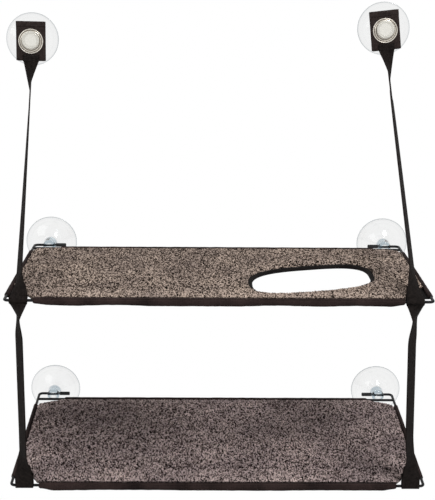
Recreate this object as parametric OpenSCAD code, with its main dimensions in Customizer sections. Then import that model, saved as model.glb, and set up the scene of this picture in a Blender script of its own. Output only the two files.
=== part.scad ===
// Two-tier perch for a window: two plush-covered wire trays that hinge on suction
// cups and hang from webbing straps. The origin is on the glass, on the centre line,
// at the height of the upper hinge. The room is towards -Y and up is +Z.

/* [Trays] */
// Width between the centres of a tray's two side rods
tray_width = 580; // [540:1:620]
// Depth from the hinge line to the centre of the front rail
tray_depth = 305; // [290:1:325]
// Height from the lower hinge line up to the upper one
tier_gap = 252; // [240:1:275]
// Slope of the upper tray below level, in degrees
upper_droop = 0; // [0:0.5:2]
// Slope of the lower tray below level, in degrees
lower_droop = 3.5; // [1:0.5:5]

/* [Wire] */
// Diameter of the coated wire
wire_d = 4; // [3.6:0.1:4.2]
// Radius of the wire's centre line at each corner
bend_r = 6; // [5:0.5:8]
// Length of a rear stub, from the side rod's centre to its cut end
stub_len = 47; // [44:1:50]
// Distance from the hinge line to the crossbar's centre
crossbar_back = 22; // [20:0.5:24]
// Gap left at the crossbar's coped ends for the weld
weld_gap = 0.05; // [0.02:0.01:0.1]
// Outer diameter of the rubber cap on a stub
cap_d = 5.8; // [5.4:0.1:6.4]
// Length of the cap
cap_len = 16; // [14:0.5:18]
// Thickness of the cap's closed end
cap_end_t = 2.4; // [1.5:0.1:3]
// Rounding of the cap's closed end
cap_round = 1.2; // [0.6:0.1:1.6]
// Clearance of the cap's bore round the wire
cap_clear = 0.05; // [0.02:0.01:0.1]

/* [Window cups] */
// Diameter of a suction cup
cup_d = 81; // [76:1:84]
// Height of a tray cup's cross bore above the glass, which is the hinge height
hinge_h = 25; // [24:0.5:28]
// Distance from a side rod's centre in to a tray cup's centre
rear_cup_inset = 23.5; // [22:0.5:26]
// Diameter of a tray cup's knob
knob_d = 19.5; // [18:0.5:20]
// Height of the knob's domed end above the glass
knob_h = 35; // [34:0.5:37]
// Radial clearance of the cross bore round the wire
pin_clear = 0.1; // [0.08:0.01:0.15]
// Distance from the left side rod's line in to the left hanging cup's centre
left_cup_inset = 2.5; // [-2:0.5:10]
// Distance from the right side rod's line in to the right hanging cup's centre
right_cup_inset = 35; // [25:0.5:40]
// Height of the left hanging cup above the upper hinge line
left_cup_z = 322; // [312:1:345]
// Height of the right hanging cup above the upper hinge line
right_cup_z = 342; // [312:1:345]
// Diameter of a hanging cup's neck
neck_d = 18; // [16:0.5:19]
// Diameter of a hanging cup's button head
head_d = 27; // [25:0.5:28]
// Height of the head's underside above the glass
head_base_h = 22.2; // [22:0.1:24]
// Height of the head's top above the glass
head_top_h = 26.4; // [26:0.2:29]

/* [Cup body] */
// Width of the flat ring on which a cup seals
seal_w = 3; // [2:0.5:4]
// Depth of the hollow under a cup
cavity_h = 3.4; // [2.5:0.1:3.6]
// Thickness of a cup's outer edge
lip_t = 1.8; // [1.4:0.1:2.2]
// Height at which a cup's dome meets its hub
hub_h = 13.5; // [12:0.5:14]
// Diameter of the hub where the dome ends
hub_d = 24; // [23:0.5:26]

/* [Tabs] */
// Width of a webbing tab
tab_w = 45; // [42:1:48]
// Height of a webbing tab
tab_h = 60; // [57:1:63]
// Thickness of one layer of the tab
tab_layer_t = 1.45; // [1.2:0.05:1.5]
// Height of the tab's back above the glass
tab_back_h = 17.2; // [17:0.1:17.4]
// Height of the hem that is turned over at the top of the tab
hem_h = 8; // [6:0.5:9]
// Thickness that the hem adds
hem_t = 0.7; // [0.4:0.1:1]
// Lean of the left tab away from upright, in degrees
left_tab_lean = -1; // [-3:0.5:3]
// Lean of the right tab away from upright, in degrees
right_tab_lean = 6.5; // [3:0.5:9]
// Outer diameter of the metal grommet
grommet_d = 38; // [36:0.5:39]
// Diameter of the grommet's hole
grommet_hole_d = 22; // [21.5:0.5:23]
// Wall of the grommet's barrel
barrel_t = 0.8; // [0.6:0.1:1]
// Thickness of the grommet's front flange
flange_t = 0.9; // [0.7:0.1:1]
// Diameter of the rolled rim round the flange
rim_d = 1.3; // [1:0.1:1.5]
// Outer diameter of the washer behind the tab
washer_d = 34; // [32:0.5:36]
// Thickness of the washer
washer_t = 0.9; // [0.7:0.1:1]

/* [Straps] */
// Width of the webbing
strap_w = 25; // [22:0.5:26]
// Thickness of the webbing
strap_t = 1.8; // [1.5:0.1:2]
// Distance from the side rod's centre in to the left strap on the upper front rail
upper_left_strap_inset = 19; // [19:0.5:24]
// Distance from the side rod's centre in to the right strap on the upper front rail
upper_right_strap_inset = 25; // [19:0.5:28]
// Distance from the side rod's centre in to the left strap on the lower front rail
lower_left_strap_inset = 19; // [19:0.5:24]
// Distance from the side rod's centre in to the right strap on the lower front rail
lower_right_strap_inset = 19; // [19:0.5:24]
// Turn of the hanging straps between their ends, in degrees
hanger_turn = 72; // [60:1:84]
// Turn of the straps between the trays, in degrees
link_turn = 62; // [52:1:74]
// Turn of the straps between the trays where they pinch below the upper rail, in degrees
link_pinch = 80; // [62:1:84]
// Length over which a hanging strap turns below its tab
tab_turn_len = 44; // [38:1:55]
// Length of the left hanging strap's fan above the upper rail
left_fan_len = 32; // [28:1:44]
// Length of the right hanging strap's fan above the upper rail
right_fan_len = 46; // [36:1:56]
// Length over which a strap between the trays pinches below the upper rail
link_top_len = 20; // [16:1:26]
// Length over which it opens again below that
link_open_len = 30; // [24:1:40]
// Length of its fan above the lower rail's loop
link_fan_len = 30; // [26:1:40]
// Length of a strap's sewn lap above the upper rail's loop
hanger_lap = 20; // [16:1:24]
// Length of a strap's sewn lap above the lower rail's loop
link_lap = 14; // [12:1:18]
// Clear width of the loop round the lower rail
loop_w = 7.4; // [7.2:0.1:8]
// Clear height of the loop round the lower rail
loop_h = 19; // [18.5:0.5:22]

/* [Covers] */
// Gap between a side sleeve and the cover's side edge
cover_side_gap = 3.5; // [2:0.5:6]
// Gap between the rear sleeve and the cover's rear edge
cover_rear_gap = 1.5; // [1:0.5:4]
// Gap between the front sleeve and the cover's front edge
cover_front_gap = 0.7; // [0.5:0.1:2]
// Width of the cut at each rear corner of the cover
rear_cut_w = 33; // [28:1:38]
// Depth of the cut at each rear corner of the cover
rear_cut_depth = 27; // [22:1:34]
// Width of the cut at each front corner of the cover
front_cut_w = 28; // [26:1:34]
// Depth of the cut at each front corner of the cover
front_cut_depth = 55; // [50:1:80]
// Outer diameter of the fabric sleeve on the front rail
front_sleeve_d = 9; // [8:0.5:10]
// Outer diameter of the sleeves on the other rods
side_sleeve_d = 7; // [6.5:0.1:7.4]
// Distance by which the front and rear sleeves stop short of the cover's corners
end_inset = 4; // [2:1:10]
// Distance by which a side sleeve runs on past the cover's rear corner
side_overrun = 10; // [4:1:14]
// Distance by which a side sleeve runs on past the cover's front corner
side_front_overrun = 38; // [10:1:44]
// Clearance of a sleeve's bore round the wire
sleeve_clear = 0.2; // [0.1:0.05:0.3]
// Thickness of a sleeve's seam strip
seam_t = 1; // [0.8:0.1:1.2]
// Width by which a seam strip reaches under the cover
seam_reach = 4; // [3:0.5:6]

/* [Padding] */
// Thickness of the fabric bottom panel
panel_t = 1; // [0.8:0.1:1.2]
// Depth of the panel's underside below the wire's centre
panel_drop = 1.6; // [1.4:0.1:1.7]
// Thickness of the foam pad
foam_t = 3.2; // [2.8:0.1:3.4]
// Distance from the cover's edge to the foam's edge
foam_inset = 6; // [5.5:0.5:7]
// Height of the plush at its crown above the wire's centre
plush_top_z = 7.6; // [7:0.1:9]
// Height of the plush where its shoulder starts
plush_shoulder_z = 4.4; // [4:0.1:4.8]
// Gap left between neighbouring pieces
seat_gap = 0.2; // [0.1:0.05:0.25]

/* [Hole] */
// Distance from the right side rod's centre in to the centre of the oval hole
hole_side_inset = 156.5; // [150:0.5:180]
// Distance from the front rail's centre back to the centre of the oval hole
hole_front_inset = 102; // [101.5:0.5:120]
// Half length of the clear hole
hole_a = 86; // [80:0.5:88]
// Half width of the clear hole
hole_b = 67; // [58:0.5:67]
// Rise of the oval hole toward the rear along its length, as a share of the length
hole_skew_share = 0.29; // [0:0.01:0.3]
// Width of the binding's flanges
binding_w = 6; // [5:0.5:6]
// Thickness of the binding
binding_t = 1; // [0.8:0.1:1]

/* [Hidden] */
$fn = 48;
full_turn = 360;

wire_r = wire_d / 2;
half_w = tray_width / 2;
rear_cup_x = half_w - rear_cup_inset;
left_cup_x = left_cup_inset - half_w;
right_cup_x = half_w - right_cup_inset;
upper_left_strap_x = upper_left_strap_inset - half_w;
upper_right_strap_x = half_w - upper_right_strap_inset;
lower_left_strap_x = lower_left_strap_inset - half_w;
lower_right_strap_x = half_w - lower_right_strap_inset;
cup_r = cup_d / 2;
hub_r = hub_d / 2;
pin_bore_d = wire_d + 2 * pin_clear;
cap_inner_x = rear_cup_x - knob_d / 2 - seat_gap;

// Edges and corners of a cover, as distances from the centre line and the hinge line
cover_half_w = half_w - side_sleeve_d / 2 - cover_side_gap;
cover_rear = crossbar_back + side_sleeve_d / 2 + cover_rear_gap;
cover_front = tray_depth - front_sleeve_d / 2 - cover_front_gap;
rear_corner_x = cover_half_w - rear_cut_w;
rear_corner_back = cover_rear + rear_cut_depth;
front_corner_x = cover_half_w - front_cut_w;
front_corner_back = cover_front - front_cut_depth;
front_sleeve_half = front_corner_x - end_inset;
rear_sleeve_half = rear_corner_x - end_inset;
side_sleeve_rear = rear_corner_back - side_overrun;
side_sleeve_front = front_corner_back + side_front_overrun;
hole_x = half_w - hole_side_inset;
hole_back = tray_depth - hole_front_inset;

// Heights of the layers of a cover, from the wire's centre plane
panel_top = panel_t - panel_drop;
foam_base = panel_top + seat_gap;
foam_top = foam_base + foam_t;
plush_base = foam_top + seat_gap;
seam_base = -panel_drop - seat_gap - seam_t;

// Tab layers, as heights above the glass
tab_front_h = tab_back_h + 2 * tab_layer_t;
ring_drop = (grommet_hole_d - neck_d) / 2 - seat_gap;

// Webbing that laps on itself lies this far apart, centre to centre
lap_pitch = strap_t + seat_gap;
// Centre line of the webbing round the upper rail
hanger_loop_r = wire_r + seat_gap + strap_t / 2;

function unit(v) = v / norm(v);
function mix(a, b, share) = a + (b - a) * share;
function clamp01(share) = min(1, max(0, share));
function ease(share) = let (k = clamp01(share)) k * k * (3 - 2 * k);
function total(v) = v * [for (item = v) 1];

// Places a tray part at its hinge line, sloped by its droop
module upper_place() {
    translate([0, -hinge_h, 0]) rotate([upper_droop, 0, 0]) children();
}
module lower_place() {
    translate([0, -hinge_h, -tier_gap]) rotate([lower_droop, 0, 0]) children();
}

// Wire frame: one bent wire with a front rail, two side rods and two rear stubs
module wire_corner(from_angle) {
    rotate([0, 0, from_angle]) rotate_extrude(angle = 90) translate([bend_r, 0]) circle(r = wire_r);
}
module wire_frame() {
    rail_half = half_w - bend_r;
    rod_len = tray_depth - 2 * bend_r;
    translate([-rail_half, -tray_depth, 0]) rotate([0, 90, 0]) cylinder(r = wire_r, h = 2 * rail_half);
    for (side = [0, 1]) mirror([side, 0, 0]) {
        translate([rail_half, bend_r - tray_depth, 0]) wire_corner(-90);
        translate([half_w, -bend_r, 0]) rotate([90, 0, 0]) cylinder(r = wire_r, h = rod_len);
        translate([rail_half, -bend_r, 0]) wire_corner(0);
        translate([half_w - stub_len, 0, 0]) rotate([0, 90, 0]) cylinder(r = wire_r, h = stub_len - bend_r);
    }
}

// Crossbar: a straight wire coped to the side rods and welded there
module crossbar() {
    difference() {
        translate([-half_w, -crossbar_back, 0]) rotate([0, 90, 0]) cylinder(r = wire_r, h = tray_width);
        for (side = [-1, 1]) translate([side * half_w, 0, 0]) rotate([90, 0, 0])
            cylinder(r = wire_r + weld_gap, h = 2 * crossbar_back);
    }
}

// End cap: a blind rubber cap on a stub, against the knob of its cup
module end_cap(side) {
    cap_r = cap_d / 2;
    translate([side * cap_inner_x, 0, 0]) rotate([0, -side * 90, 0]) difference() {
        rotate_extrude() {
            square([cap_r, cap_len - cap_round]);
            square([cap_r - cap_round, cap_len]);
            intersection() {
                translate([cap_r - cap_round, cap_len - cap_round]) circle(r = cap_round);
                square([cap_r, cap_len]);
            }
        }
        translate([0, 0, -cap_end_t]) cylinder(r = wire_r + cap_clear, h = cap_len);
    }
}

// Sleeve: a fabric tube on a rod, with a seam strip that runs under the cover
module sleeve(outer_d, length, reach) {
    rotate([90, 0, 90]) linear_extrude(height = length, center = true) difference() {
        union() {
            circle(d = outer_d);
            translate([0, seam_base]) square([reach, seam_t]);
        }
        circle(r = wire_r + sleeve_clear);
    }
}
module front_sleeve() {
    reach = tray_depth - cover_front + seam_reach;
    translate([0, -tray_depth, 0]) sleeve(front_sleeve_d, 2 * front_sleeve_half, reach);
}
module rear_sleeve() {
    reach = cover_rear - crossbar_back + seam_reach;
    translate([0, -crossbar_back, 0]) rotate([0, 0, 180]) sleeve(side_sleeve_d, 2 * rear_sleeve_half, reach);
}
module side_sleeve(side) {
    reach = half_w - cover_half_w + seam_reach;
    middle = (side_sleeve_rear + side_sleeve_front) / 2;
    translate([side * half_w, -middle, 0]) rotate([0, 0, side * 90])
        sleeve(side_sleeve_d, side_sleeve_front - side_sleeve_rear, reach);
}

// Outline of a cover: eight straight edges with soft corners. The reach in a direction
// is a smooth minimum of the distances to the edges, each drawn in by an inset.
corner_softness = 60;
cover_corners = [
    [rear_corner_x, -cover_rear], [-rear_corner_x, -cover_rear],
    [-cover_half_w, -rear_corner_back], [-cover_half_w, -front_corner_back],
    [-front_corner_x, -cover_front], [front_corner_x, -cover_front],
    [cover_half_w, -front_corner_back], [cover_half_w, -rear_corner_back]
];
edge_count = len(cover_corners);
edge_normals = [for (i = [0 : edge_count - 1])
    let (run = cover_corners[(i + 1) % edge_count] - cover_corners[i]) unit([run[1], -run[0]])];
lower_centre = [0, -(cover_rear + cover_front) / 2];
hole_centre = [hole_x, -hole_back];

function reach(angle, centre, inset) =
    let (
        way = [cos(angle), sin(angle)],
        terms = [for (i = [0 : edge_count - 1])
            let (away = edge_normals[i] * (cover_corners[i] - centre) - inset)
            pow(max(0, edge_normals[i] * way / away), corner_softness)]
    )
    pow(total(terms), -1 / corner_softness);

// Angles about a centre: every corner, and even steps along each edge between corners
outline_step = 5;
function corner_angle(i, centre) =
    let (
        from_centre = cover_corners[i % edge_count] - centre,
        first = cover_corners[0] - centre,
        start = atan2(first[1], first[0]),
        turned = atan2(from_centre[1], from_centre[0]) - start
    )
    i == edge_count ? start + full_turn : start + (turned < 0 ? turned + full_turn : turned);
function outline_angles(centre) = [
    for (i = [0 : edge_count - 1])
        let (
            start = corner_angle(i, centre),
            stop = corner_angle(i + 1, centre),
            steps = max(1, round((stop - start) / outline_step))
        )
        for (j = [0 : steps - 1]) mix(start, stop, j / steps)
];
// Reach of the oval hole, widened all round by a margin. The oval is fuller than an
// ellipse, which has a fullness of two, and its right end lies farther back than its left
hole_fullness_share = 3;
function hole_reach(angle, margin) =
    let (
        rise = sin(angle) - hole_skew_share * cos(angle),
        along = pow(abs(cos(angle)) / (hole_a + margin), hole_fullness_share),
        aside = pow(abs(rise) / (hole_b + margin), hole_fullness_share)
    )
    pow(along + aside, -1 / hole_fullness_share);

function cover_outline(centre, inset) =
    [for (a = outline_angles(centre)) centre + reach(a, centre, inset) * [cos(a), sin(a)]];
// The hole's pieces share the plush's angles, so that their facets lie side by side
hole_angles = outline_angles(hole_centre);
function hole_outline(margin) =
    [for (a = hole_angles) hole_centre + hole_reach(a, margin) * [cos(a), sin(a)]];

// Flat layers of a cover: the fabric panel below and the foam pad on it
module flat_layer(centre, inset, base, thick, holed, hole_margin) {
    translate([0, 0, base]) linear_extrude(height = thick) difference() {
        polygon(cover_outline(centre, inset));
        if (holed) polygon(hole_outline(hole_margin));
    }
}
module bottom_panel(centre, holed) {
    flat_layer(centre, seat_gap, -panel_drop, panel_t, holed, binding_t + seat_gap);
}
// The foam stops short of the binding, where the plush is pinched thin
pinch_w = 3.2;
foam_hole_margin = binding_w + pinch_w;
module foam_pad(centre, holed) {
    flat_layer(centre, foam_inset, foam_base, foam_t, holed, foam_hole_margin);
}

// Faces between rings of equal size, split into triangles; the last ring joins the
// first where the profile is closed
function ring_faces(rings, per_ring, closed) = [
    for (i = [0 : rings - (closed ? 1 : 2)], j = [0 : per_ring - 1], half = [0, 1])
        let (
            k = (i + 1) % rings,
            next = (j + 1) % per_ring,
            a = i * per_ring + j,
            b = i * per_ring + next,
            c = k * per_ring + next,
            d = k * per_ring + j
        )
        half == 0 ? [a, c, b] : [a, d, c]
];

// Plush top: a padded cap that is drawn in at its foot, swells at its side, turns over a
// soft shoulder to a low crown, and is hollow below where the foam sits.
// Each ring is [inset from the edge, height]; shares run from the edge to the middle.
plush_foot_inset = 1.6;
plush_side_z = 1.6;
plush_roll = 3;
plush_turn = 7;
plush_wall = seat_gap + foam_inset - 2 * seat_gap;
roll_z_share = 0.5;
turn_z_share = 0.78;
function lift(share) = mix(plush_shoulder_z, plush_top_z, share);
outer_rings = [
    [plush_wall, plush_base], [plush_wall, foam_base], [plush_foot_inset, foam_base],
    [0, plush_side_z], [seat_gap, plush_shoulder_z],
    [plush_roll, lift(roll_z_share)], [plush_turn, lift(turn_z_share)]
];
crown_shares = [[0.3, 0.94], [0.65, 1]];

module lower_plush() {
    angles = outline_angles(lower_centre);
    count = len(angles);
    rim = [for (ring = outer_rings, a = angles)
        let (p = lower_centre + reach(a, lower_centre, ring[0]) * [cos(a), sin(a)]) [p[0], p[1], ring[1]]];
    crown = [for (share = crown_shares, a = angles)
        let (
            edge = reach(a, lower_centre, plush_turn),
            p = lower_centre + edge * (1 - share[0]) * [cos(a), sin(a)]
        )
        [p[0], p[1], lift(share[1])]];
    rings = len(outer_rings) + len(crown_shares);
    base_point = rings * count;
    top_point = base_point + 1;
    last = (rings - 1) * count;
    caps = [for (j = [0 : count - 1], half = [0, 1])
        let (next = (j + 1) % count)
        half == 0 ? [j, next, base_point] : [last + next, last + j, top_point]];
    ends = [[lower_centre[0], lower_centre[1], plush_base], [lower_centre[0], lower_centre[1], plush_top_z]];
    polyhedron(points = concat(rim, crown, ends), faces = concat(ring_faces(rings, count, false), caps));
}

// The upper plush also runs in to the oval hole and dips below the binding there
pinched_t = 1.6;
binding_seat_z = foam_base + pinched_t;
hole_turn_margin = 5;
hole_rings = [
    [binding_w + hole_turn_margin, lift(turn_z_share)],
    [foam_hole_margin - seat_gap, plush_shoulder_z],
    [binding_w + seat_gap, binding_seat_z],
    [binding_t + seat_gap, binding_seat_z],
    [binding_t + seat_gap, foam_base],
    [foam_hole_margin - 2 * seat_gap, foam_base],
    [foam_hole_margin - 2 * seat_gap, plush_base]
];
module upper_plush() {
    angles = outline_angles(hole_centre);
    rim = [for (ring = outer_rings, a = angles)
        let (p = hole_centre + reach(a, hole_centre, ring[0]) * [cos(a), sin(a)]) [p[0], p[1], ring[1]]];
    crown = [for (share = crown_shares, a = angles)
        let (
            edge = reach(a, hole_centre, plush_turn),
            inner = hole_reach(a, binding_w + hole_turn_margin),
            p = hole_centre + mix(edge, inner, share[0]) * [cos(a), sin(a)]
        )
        [p[0], p[1], lift(share[1])]];
    inside = [for (ring = hole_rings, a = angles)
        let (p = hole_centre + hole_reach(a, ring[0]) * [cos(a), sin(a)]) [p[0], p[1], ring[1]]];
    rings = len(outer_rings) + len(crown_shares) + len(hole_rings);
    polyhedron(points = concat(rim, crown, inside), faces = ring_faces(rings, len(angles), true));
}

// Binding: a folded fabric edge with a flange over the plush, a wall through the hole
// and a flange under the panel. Each profile point is [margin from the hole, height].
binding_top = binding_seat_z + seat_gap + binding_t;
binding_base = -panel_drop - seat_gap - binding_t;
fold_r = 0.4;
binding_profile = [
    [fold_r, binding_top], [0, binding_top - fold_r],
    [0, binding_base + fold_r], [fold_r, binding_base],
    [binding_w, binding_base], [binding_w, binding_base + binding_t],
    [binding_t, binding_base + binding_t], [binding_t, binding_top - binding_t],
    [binding_w, binding_top - binding_t], [binding_w, binding_top - fold_r],
    [binding_w - fold_r, binding_top]
];
module hole_binding() {
    steps = len(hole_angles);
    points = [for (ring = binding_profile, a = hole_angles)
        let (p = hole_centre + hole_reach(a, ring[0]) * [cos(a), sin(a)]) [p[0], p[1], ring[1]]];
    polyhedron(points = points, faces = [for (f = ring_faces(len(binding_profile), steps, true)) [f[2], f[1], f[0]]]);
}

// Suction cup: a flat sealing ring, a shallow hollow, a flared dome and a hub
cup_steps = 6;
function flare(share) = mix(hub_h, lip_t, 1 - (1 - share) * (1 - share));
module cup_profile() {
    seal_r = cup_r - seal_w;
    hollow = [for (i = [0 : cup_steps]) let (share = i / cup_steps) [seal_r * share, cavity_h * (1 - share * share)]];
    dome = [for (i = [0 : cup_steps]) let (share = 1 - i / cup_steps) [mix(hub_r, cup_r, share), flare(share)]];
    polygon(concat(hollow, [[cup_r, 0]], dome, [[0, hub_h]]));
}
module on_glass(x, z) {
    translate([x, 0, z]) rotate([90, 0, 0]) children();
}

// Tray cup: its knob has a cross bore in which the tray's stub turns
knob_round = 3;
module rear_cup(side, z) {
    knob_r = knob_d / 2;
    difference() {
        on_glass(side * rear_cup_x, z) rotate_extrude($fn = 72) {
            cup_profile();
            translate([0, cavity_h + lip_t]) square([knob_r, knob_h - knob_round - cavity_h - lip_t]);
            translate([0, knob_h - 2 * knob_round]) square([knob_r - knob_round, 2 * knob_round]);
            intersection() {
                translate([knob_r - knob_round, knob_h - knob_round]) circle(r = knob_round);
                translate([0, knob_h - knob_round]) square([knob_r, knob_round]);
            }
        }
        translate([side * rear_cup_x - knob_d, -hinge_h, z]) rotate([0, 90, 0])
            cylinder(d = pin_bore_d, h = 2 * knob_d);
    }
}

// Hanging cup: a neck and a button head that hold the grommet of a tab
head_round = 1.6;
module top_cup(x, z) {
    neck_r = neck_d / 2;
    head_r = head_d / 2;
    on_glass(x, z) rotate_extrude($fn = 72) {
        cup_profile();
        translate([0, cavity_h + lip_t]) square([neck_r, head_base_h - cavity_h - lip_t + head_round]);
        translate([0, head_base_h]) square([head_r, head_top_h - head_base_h - head_round]);
        translate([0, head_base_h]) square([head_r - head_round, head_top_h - head_base_h]);
        intersection() {
            translate([head_r - head_round, head_top_h - head_round]) circle(r = head_round);
            translate([0, head_top_h - head_round]) square([head_r, head_round]);
        }
    }
}

// Places a tab's parts on the glass about the grommet's centre
module left_tab_place() {
    on_glass(left_cup_x, left_cup_z - ring_drop) rotate([0, 0, left_tab_lean]) children();
}
module right_tab_place() {
    on_glass(right_cup_x, right_cup_z - ring_drop) rotate([0, 0, right_tab_lean]) children();
}

// Tab: two layers of wide webbing, with the top turned over as a hem on the front
module tab() {
    hole_r = grommet_hole_d / 2 + barrel_t + seat_gap;
    difference() {
        union() {
            translate([-tab_w / 2, -tab_h / 2, tab_back_h]) cube([tab_w, tab_h, 2 * tab_layer_t]);
            translate([-tab_w / 2, tab_h / 2 - hem_h, tab_front_h]) cube([tab_w, hem_h, hem_t]);
        }
        translate([0, 0, tab_back_h - tab_layer_t]) cylinder(r = hole_r, h = 4 * tab_layer_t, $fn = 72);
    }
}

// Grommet: a barrel through the tab with a flange and two rolled rims on the front
module grommet() {
    hole_r = grommet_hole_d / 2;
    flange_r = grommet_d / 2;
    rim_r = rim_d / 2;
    front = tab_front_h + seat_gap;
    barrel_base = tab_back_h - seat_gap - washer_t;
    rotate_extrude($fn = 96) {
        translate([hole_r, barrel_base]) square([barrel_t, front - barrel_base + flange_t]);
        translate([hole_r, front]) square([flange_r - rim_r - hole_r, flange_t]);
        translate([flange_r - rim_r, front + rim_r]) circle(r = rim_r);
        translate([hole_r + barrel_t, front + rim_r]) circle(r = rim_r);
    }
}

// Washer: the flat ring on which the barrel closes behind the tab
module grommet_washer() {
    barrel_r = grommet_hole_d / 2 + barrel_t;
    translate([0, 0, tab_back_h - seat_gap - washer_t]) difference() {
        cylinder(d = washer_d, h = washer_t, $fn = 72);
        translate([0, 0, -washer_t]) cylinder(r = barrel_r + seat_gap / 2, h = 3 * washer_t, $fn = 72);
    }
}

// Webbing: one closed ribbon through a list of stations, each [centre, width way,
// thickness way], with a rectangular section. Each broad face has a middle point between
// two stations, so that a turned face is split the same way on both sides of the strap
module ribbon(stations) {
    signs = [[-1, -1], [1, -1], [1, 1], [-1, 1]];
    steps = len(stations) - 1;
    corners = [for (s = stations, k = signs)
        s[0] + k[0] * strap_w / 2 * s[1] + k[1] * strap_t / 2 * s[2]];
    middles = [for (i = [0 : steps - 1], side = [-1, 1])
        let (out = side * strap_t / 2)
        (shifted(stations[i], out)[0] + shifted(stations[i + 1], out)[0]) / 2];
    edges = [for (i = [0 : steps - 1], j = [1, 3])
        let (
            a = 4 * i + j,
            b = 4 * i + (j + 1) % 4
        )
        each [[a, b + 4, b], [a, a + 4, b + 4]]];
    broad = [for (i = [0 : steps - 1], j = [0, 2])
        let (
            a = 4 * i + j,
            b = a + 1,
            m = len(corners) + 2 * i + j / 2
        )
        each [[b, a, m], [a, a + 4, m], [a + 4, b + 4, m], [b + 4, b, m]]];
    last = 4 * steps;
    caps = [[0, 1, 2], [0, 2, 3], [last, last + 2, last + 1], [last, last + 3, last + 2]];
    polyhedron(points = concat(corners, middles), faces = concat(edges, broad, caps));
}
// Station at a point, for webbing that runs along a way and is turned about it
function station(point, way, turn) =
    let (
        across = unit([1, 0, 0] - way[0] * way),
        front = cross(way, across)
    )
    [point, cos(turn) * across + sin(turn) * front, cos(turn) * front - sin(turn) * across];
// Turn at a share of a fan, so that the strap narrows evenly when seen from the front
function fan_turn(full, share) = acos(1 - clamp01(share) * (1 - cos(full)));
// Share of a fan at its stations, closer together where the turn is fast
turn_stations = 10;
function fan_share(i) = pow(i / turn_stations, 2);
// Adds a step to a falling list of heights
function with_step(heights, step) =
    concat([for (h = heights) if (h > step) h], [step], [for (h = heights) if (h < step) h]);
function shifted(station, amount) = [station[0] + amount * station[2], station[1], station[2]];

// Rail centres at rest
upper_rail_y = -hinge_h - tray_depth * cos(upper_droop);
upper_rail_z = -tray_depth * sin(upper_droop);
lower_rail_y = -hinge_h - tray_depth * cos(lower_droop);
lower_rail_z = -tier_gap - tray_depth * sin(lower_droop);

// Hanging strap: sewn on the front of its tab below the grommet, turned edge on, turned
// back face on above the rail, passed round the rail and sewn to its own back
lap_start_gap = 1.2;
bow_len = 22;
bow_out = 60;
lap_stations = 3;
bow_stations = 16;
run_stations = 10;
level_stations = 4;
arc_stations = 10;
tail_stations = 8;
tail_close_len = 12;
fan_start = wire_r + strap_t;
function bezier(a, b, c, share) = mix(mix(a, b, share), mix(b, c, share), share);
module hanger_strap(cup_x, cup_z, lean, rail_x, fan_len, turn_sign) {
    tab_down = [sin(lean), 0, -cos(lean)];
    ring_centre = [cup_x, -tab_front_h - seat_gap - strap_t / 2, cup_z - ring_drop];
    lap_top = ring_centre + (grommet_d / 2 + lap_start_gap) * tab_down;
    tab_foot = ring_centre + tab_h / 2 * tab_down;
    bow = tab_foot + bow_len * tab_down;
    rail = [rail_x, upper_rail_y, upper_rail_z];
    // The run meets the loop where it is square to the loop's radius
    to_bow = bow - rail;
    up = unit(to_bow);
    flat_up = unit([0, up[1], up[2]]);
    front = [0, -flat_up[2], flat_up[1]];
    meet = rail + hanger_loop_r * front;
    way = unit(bow - meet);
    bow_end = bow - bow_out * way;
    run = norm(bow_end - meet);
    turn_at = function (above, below)
        turn_sign * min(fan_turn(hanger_turn, above / tab_turn_len), fan_turn(hanger_turn, (below - fan_start) / fan_len));
    lap = [for (i = [0 : lap_stations - 1])
        station(mix(lap_top, tab_foot, i / lap_stations), tab_down, 0)];
    bowed = [for (i = [0 : bow_stations - 1])
        let (
            share = pow(i / bow_stations, 2),
            p = bezier(tab_foot, bow, bow_end, share),
            heading = unit(mix(bow - tab_foot, bow_end - bow, share))
        )
        station(p, heading, turn_at(norm(p - tab_foot), run))];
    straight = [for (i = [0 : run_stations - 1])
        let (below = mix(run, fan_start + fan_len, i / run_stations))
        station(meet + below * way, -way, turn_at(tab_turn_len, below))];
    // Front and tail have their stations at the same heights, so the layers stay apart
    fan_up = with_step([for (i = [turn_stations : -1 : 0]) fan_start + fan_len * fan_share(i)], hanger_lap);
    level_up = [for (i = [level_stations - 1 : -1 : 0]) fan_start * i / level_stations];
    turning = [for (below = concat(fan_up, level_up))
        station(meet + below * way, -way, turn_at(tab_turn_len, below))];
    tail_up = [for (h = concat(fan_up, level_up)) if (h <= hanger_lap) h];
    arc = [for (i = [1 : arc_stations - 1])
        let (
            a = 180 * i / arc_stations,
            out = cos(a) * front - sin(a) * flat_up,
            heading = -sin(a) * front - cos(a) * flat_up
        )
        station(rail + hanger_loop_r * out, heading, 0)];
    tail = [for (i = [len(tail_up) - 1 : -1 : 0])
        let (
            above = tail_up[i],
            back = mix(2 * hanger_loop_r, lap_pitch, ease(above / tail_close_len)),
            face = station(meet + above * way, -way, turn_at(tab_turn_len, above))
        )
        [face[0] - back * face[2], face[1], -face[2]]];
    ribbon(concat(lap, bowed, straight, turning, arc, tail));
}

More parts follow.
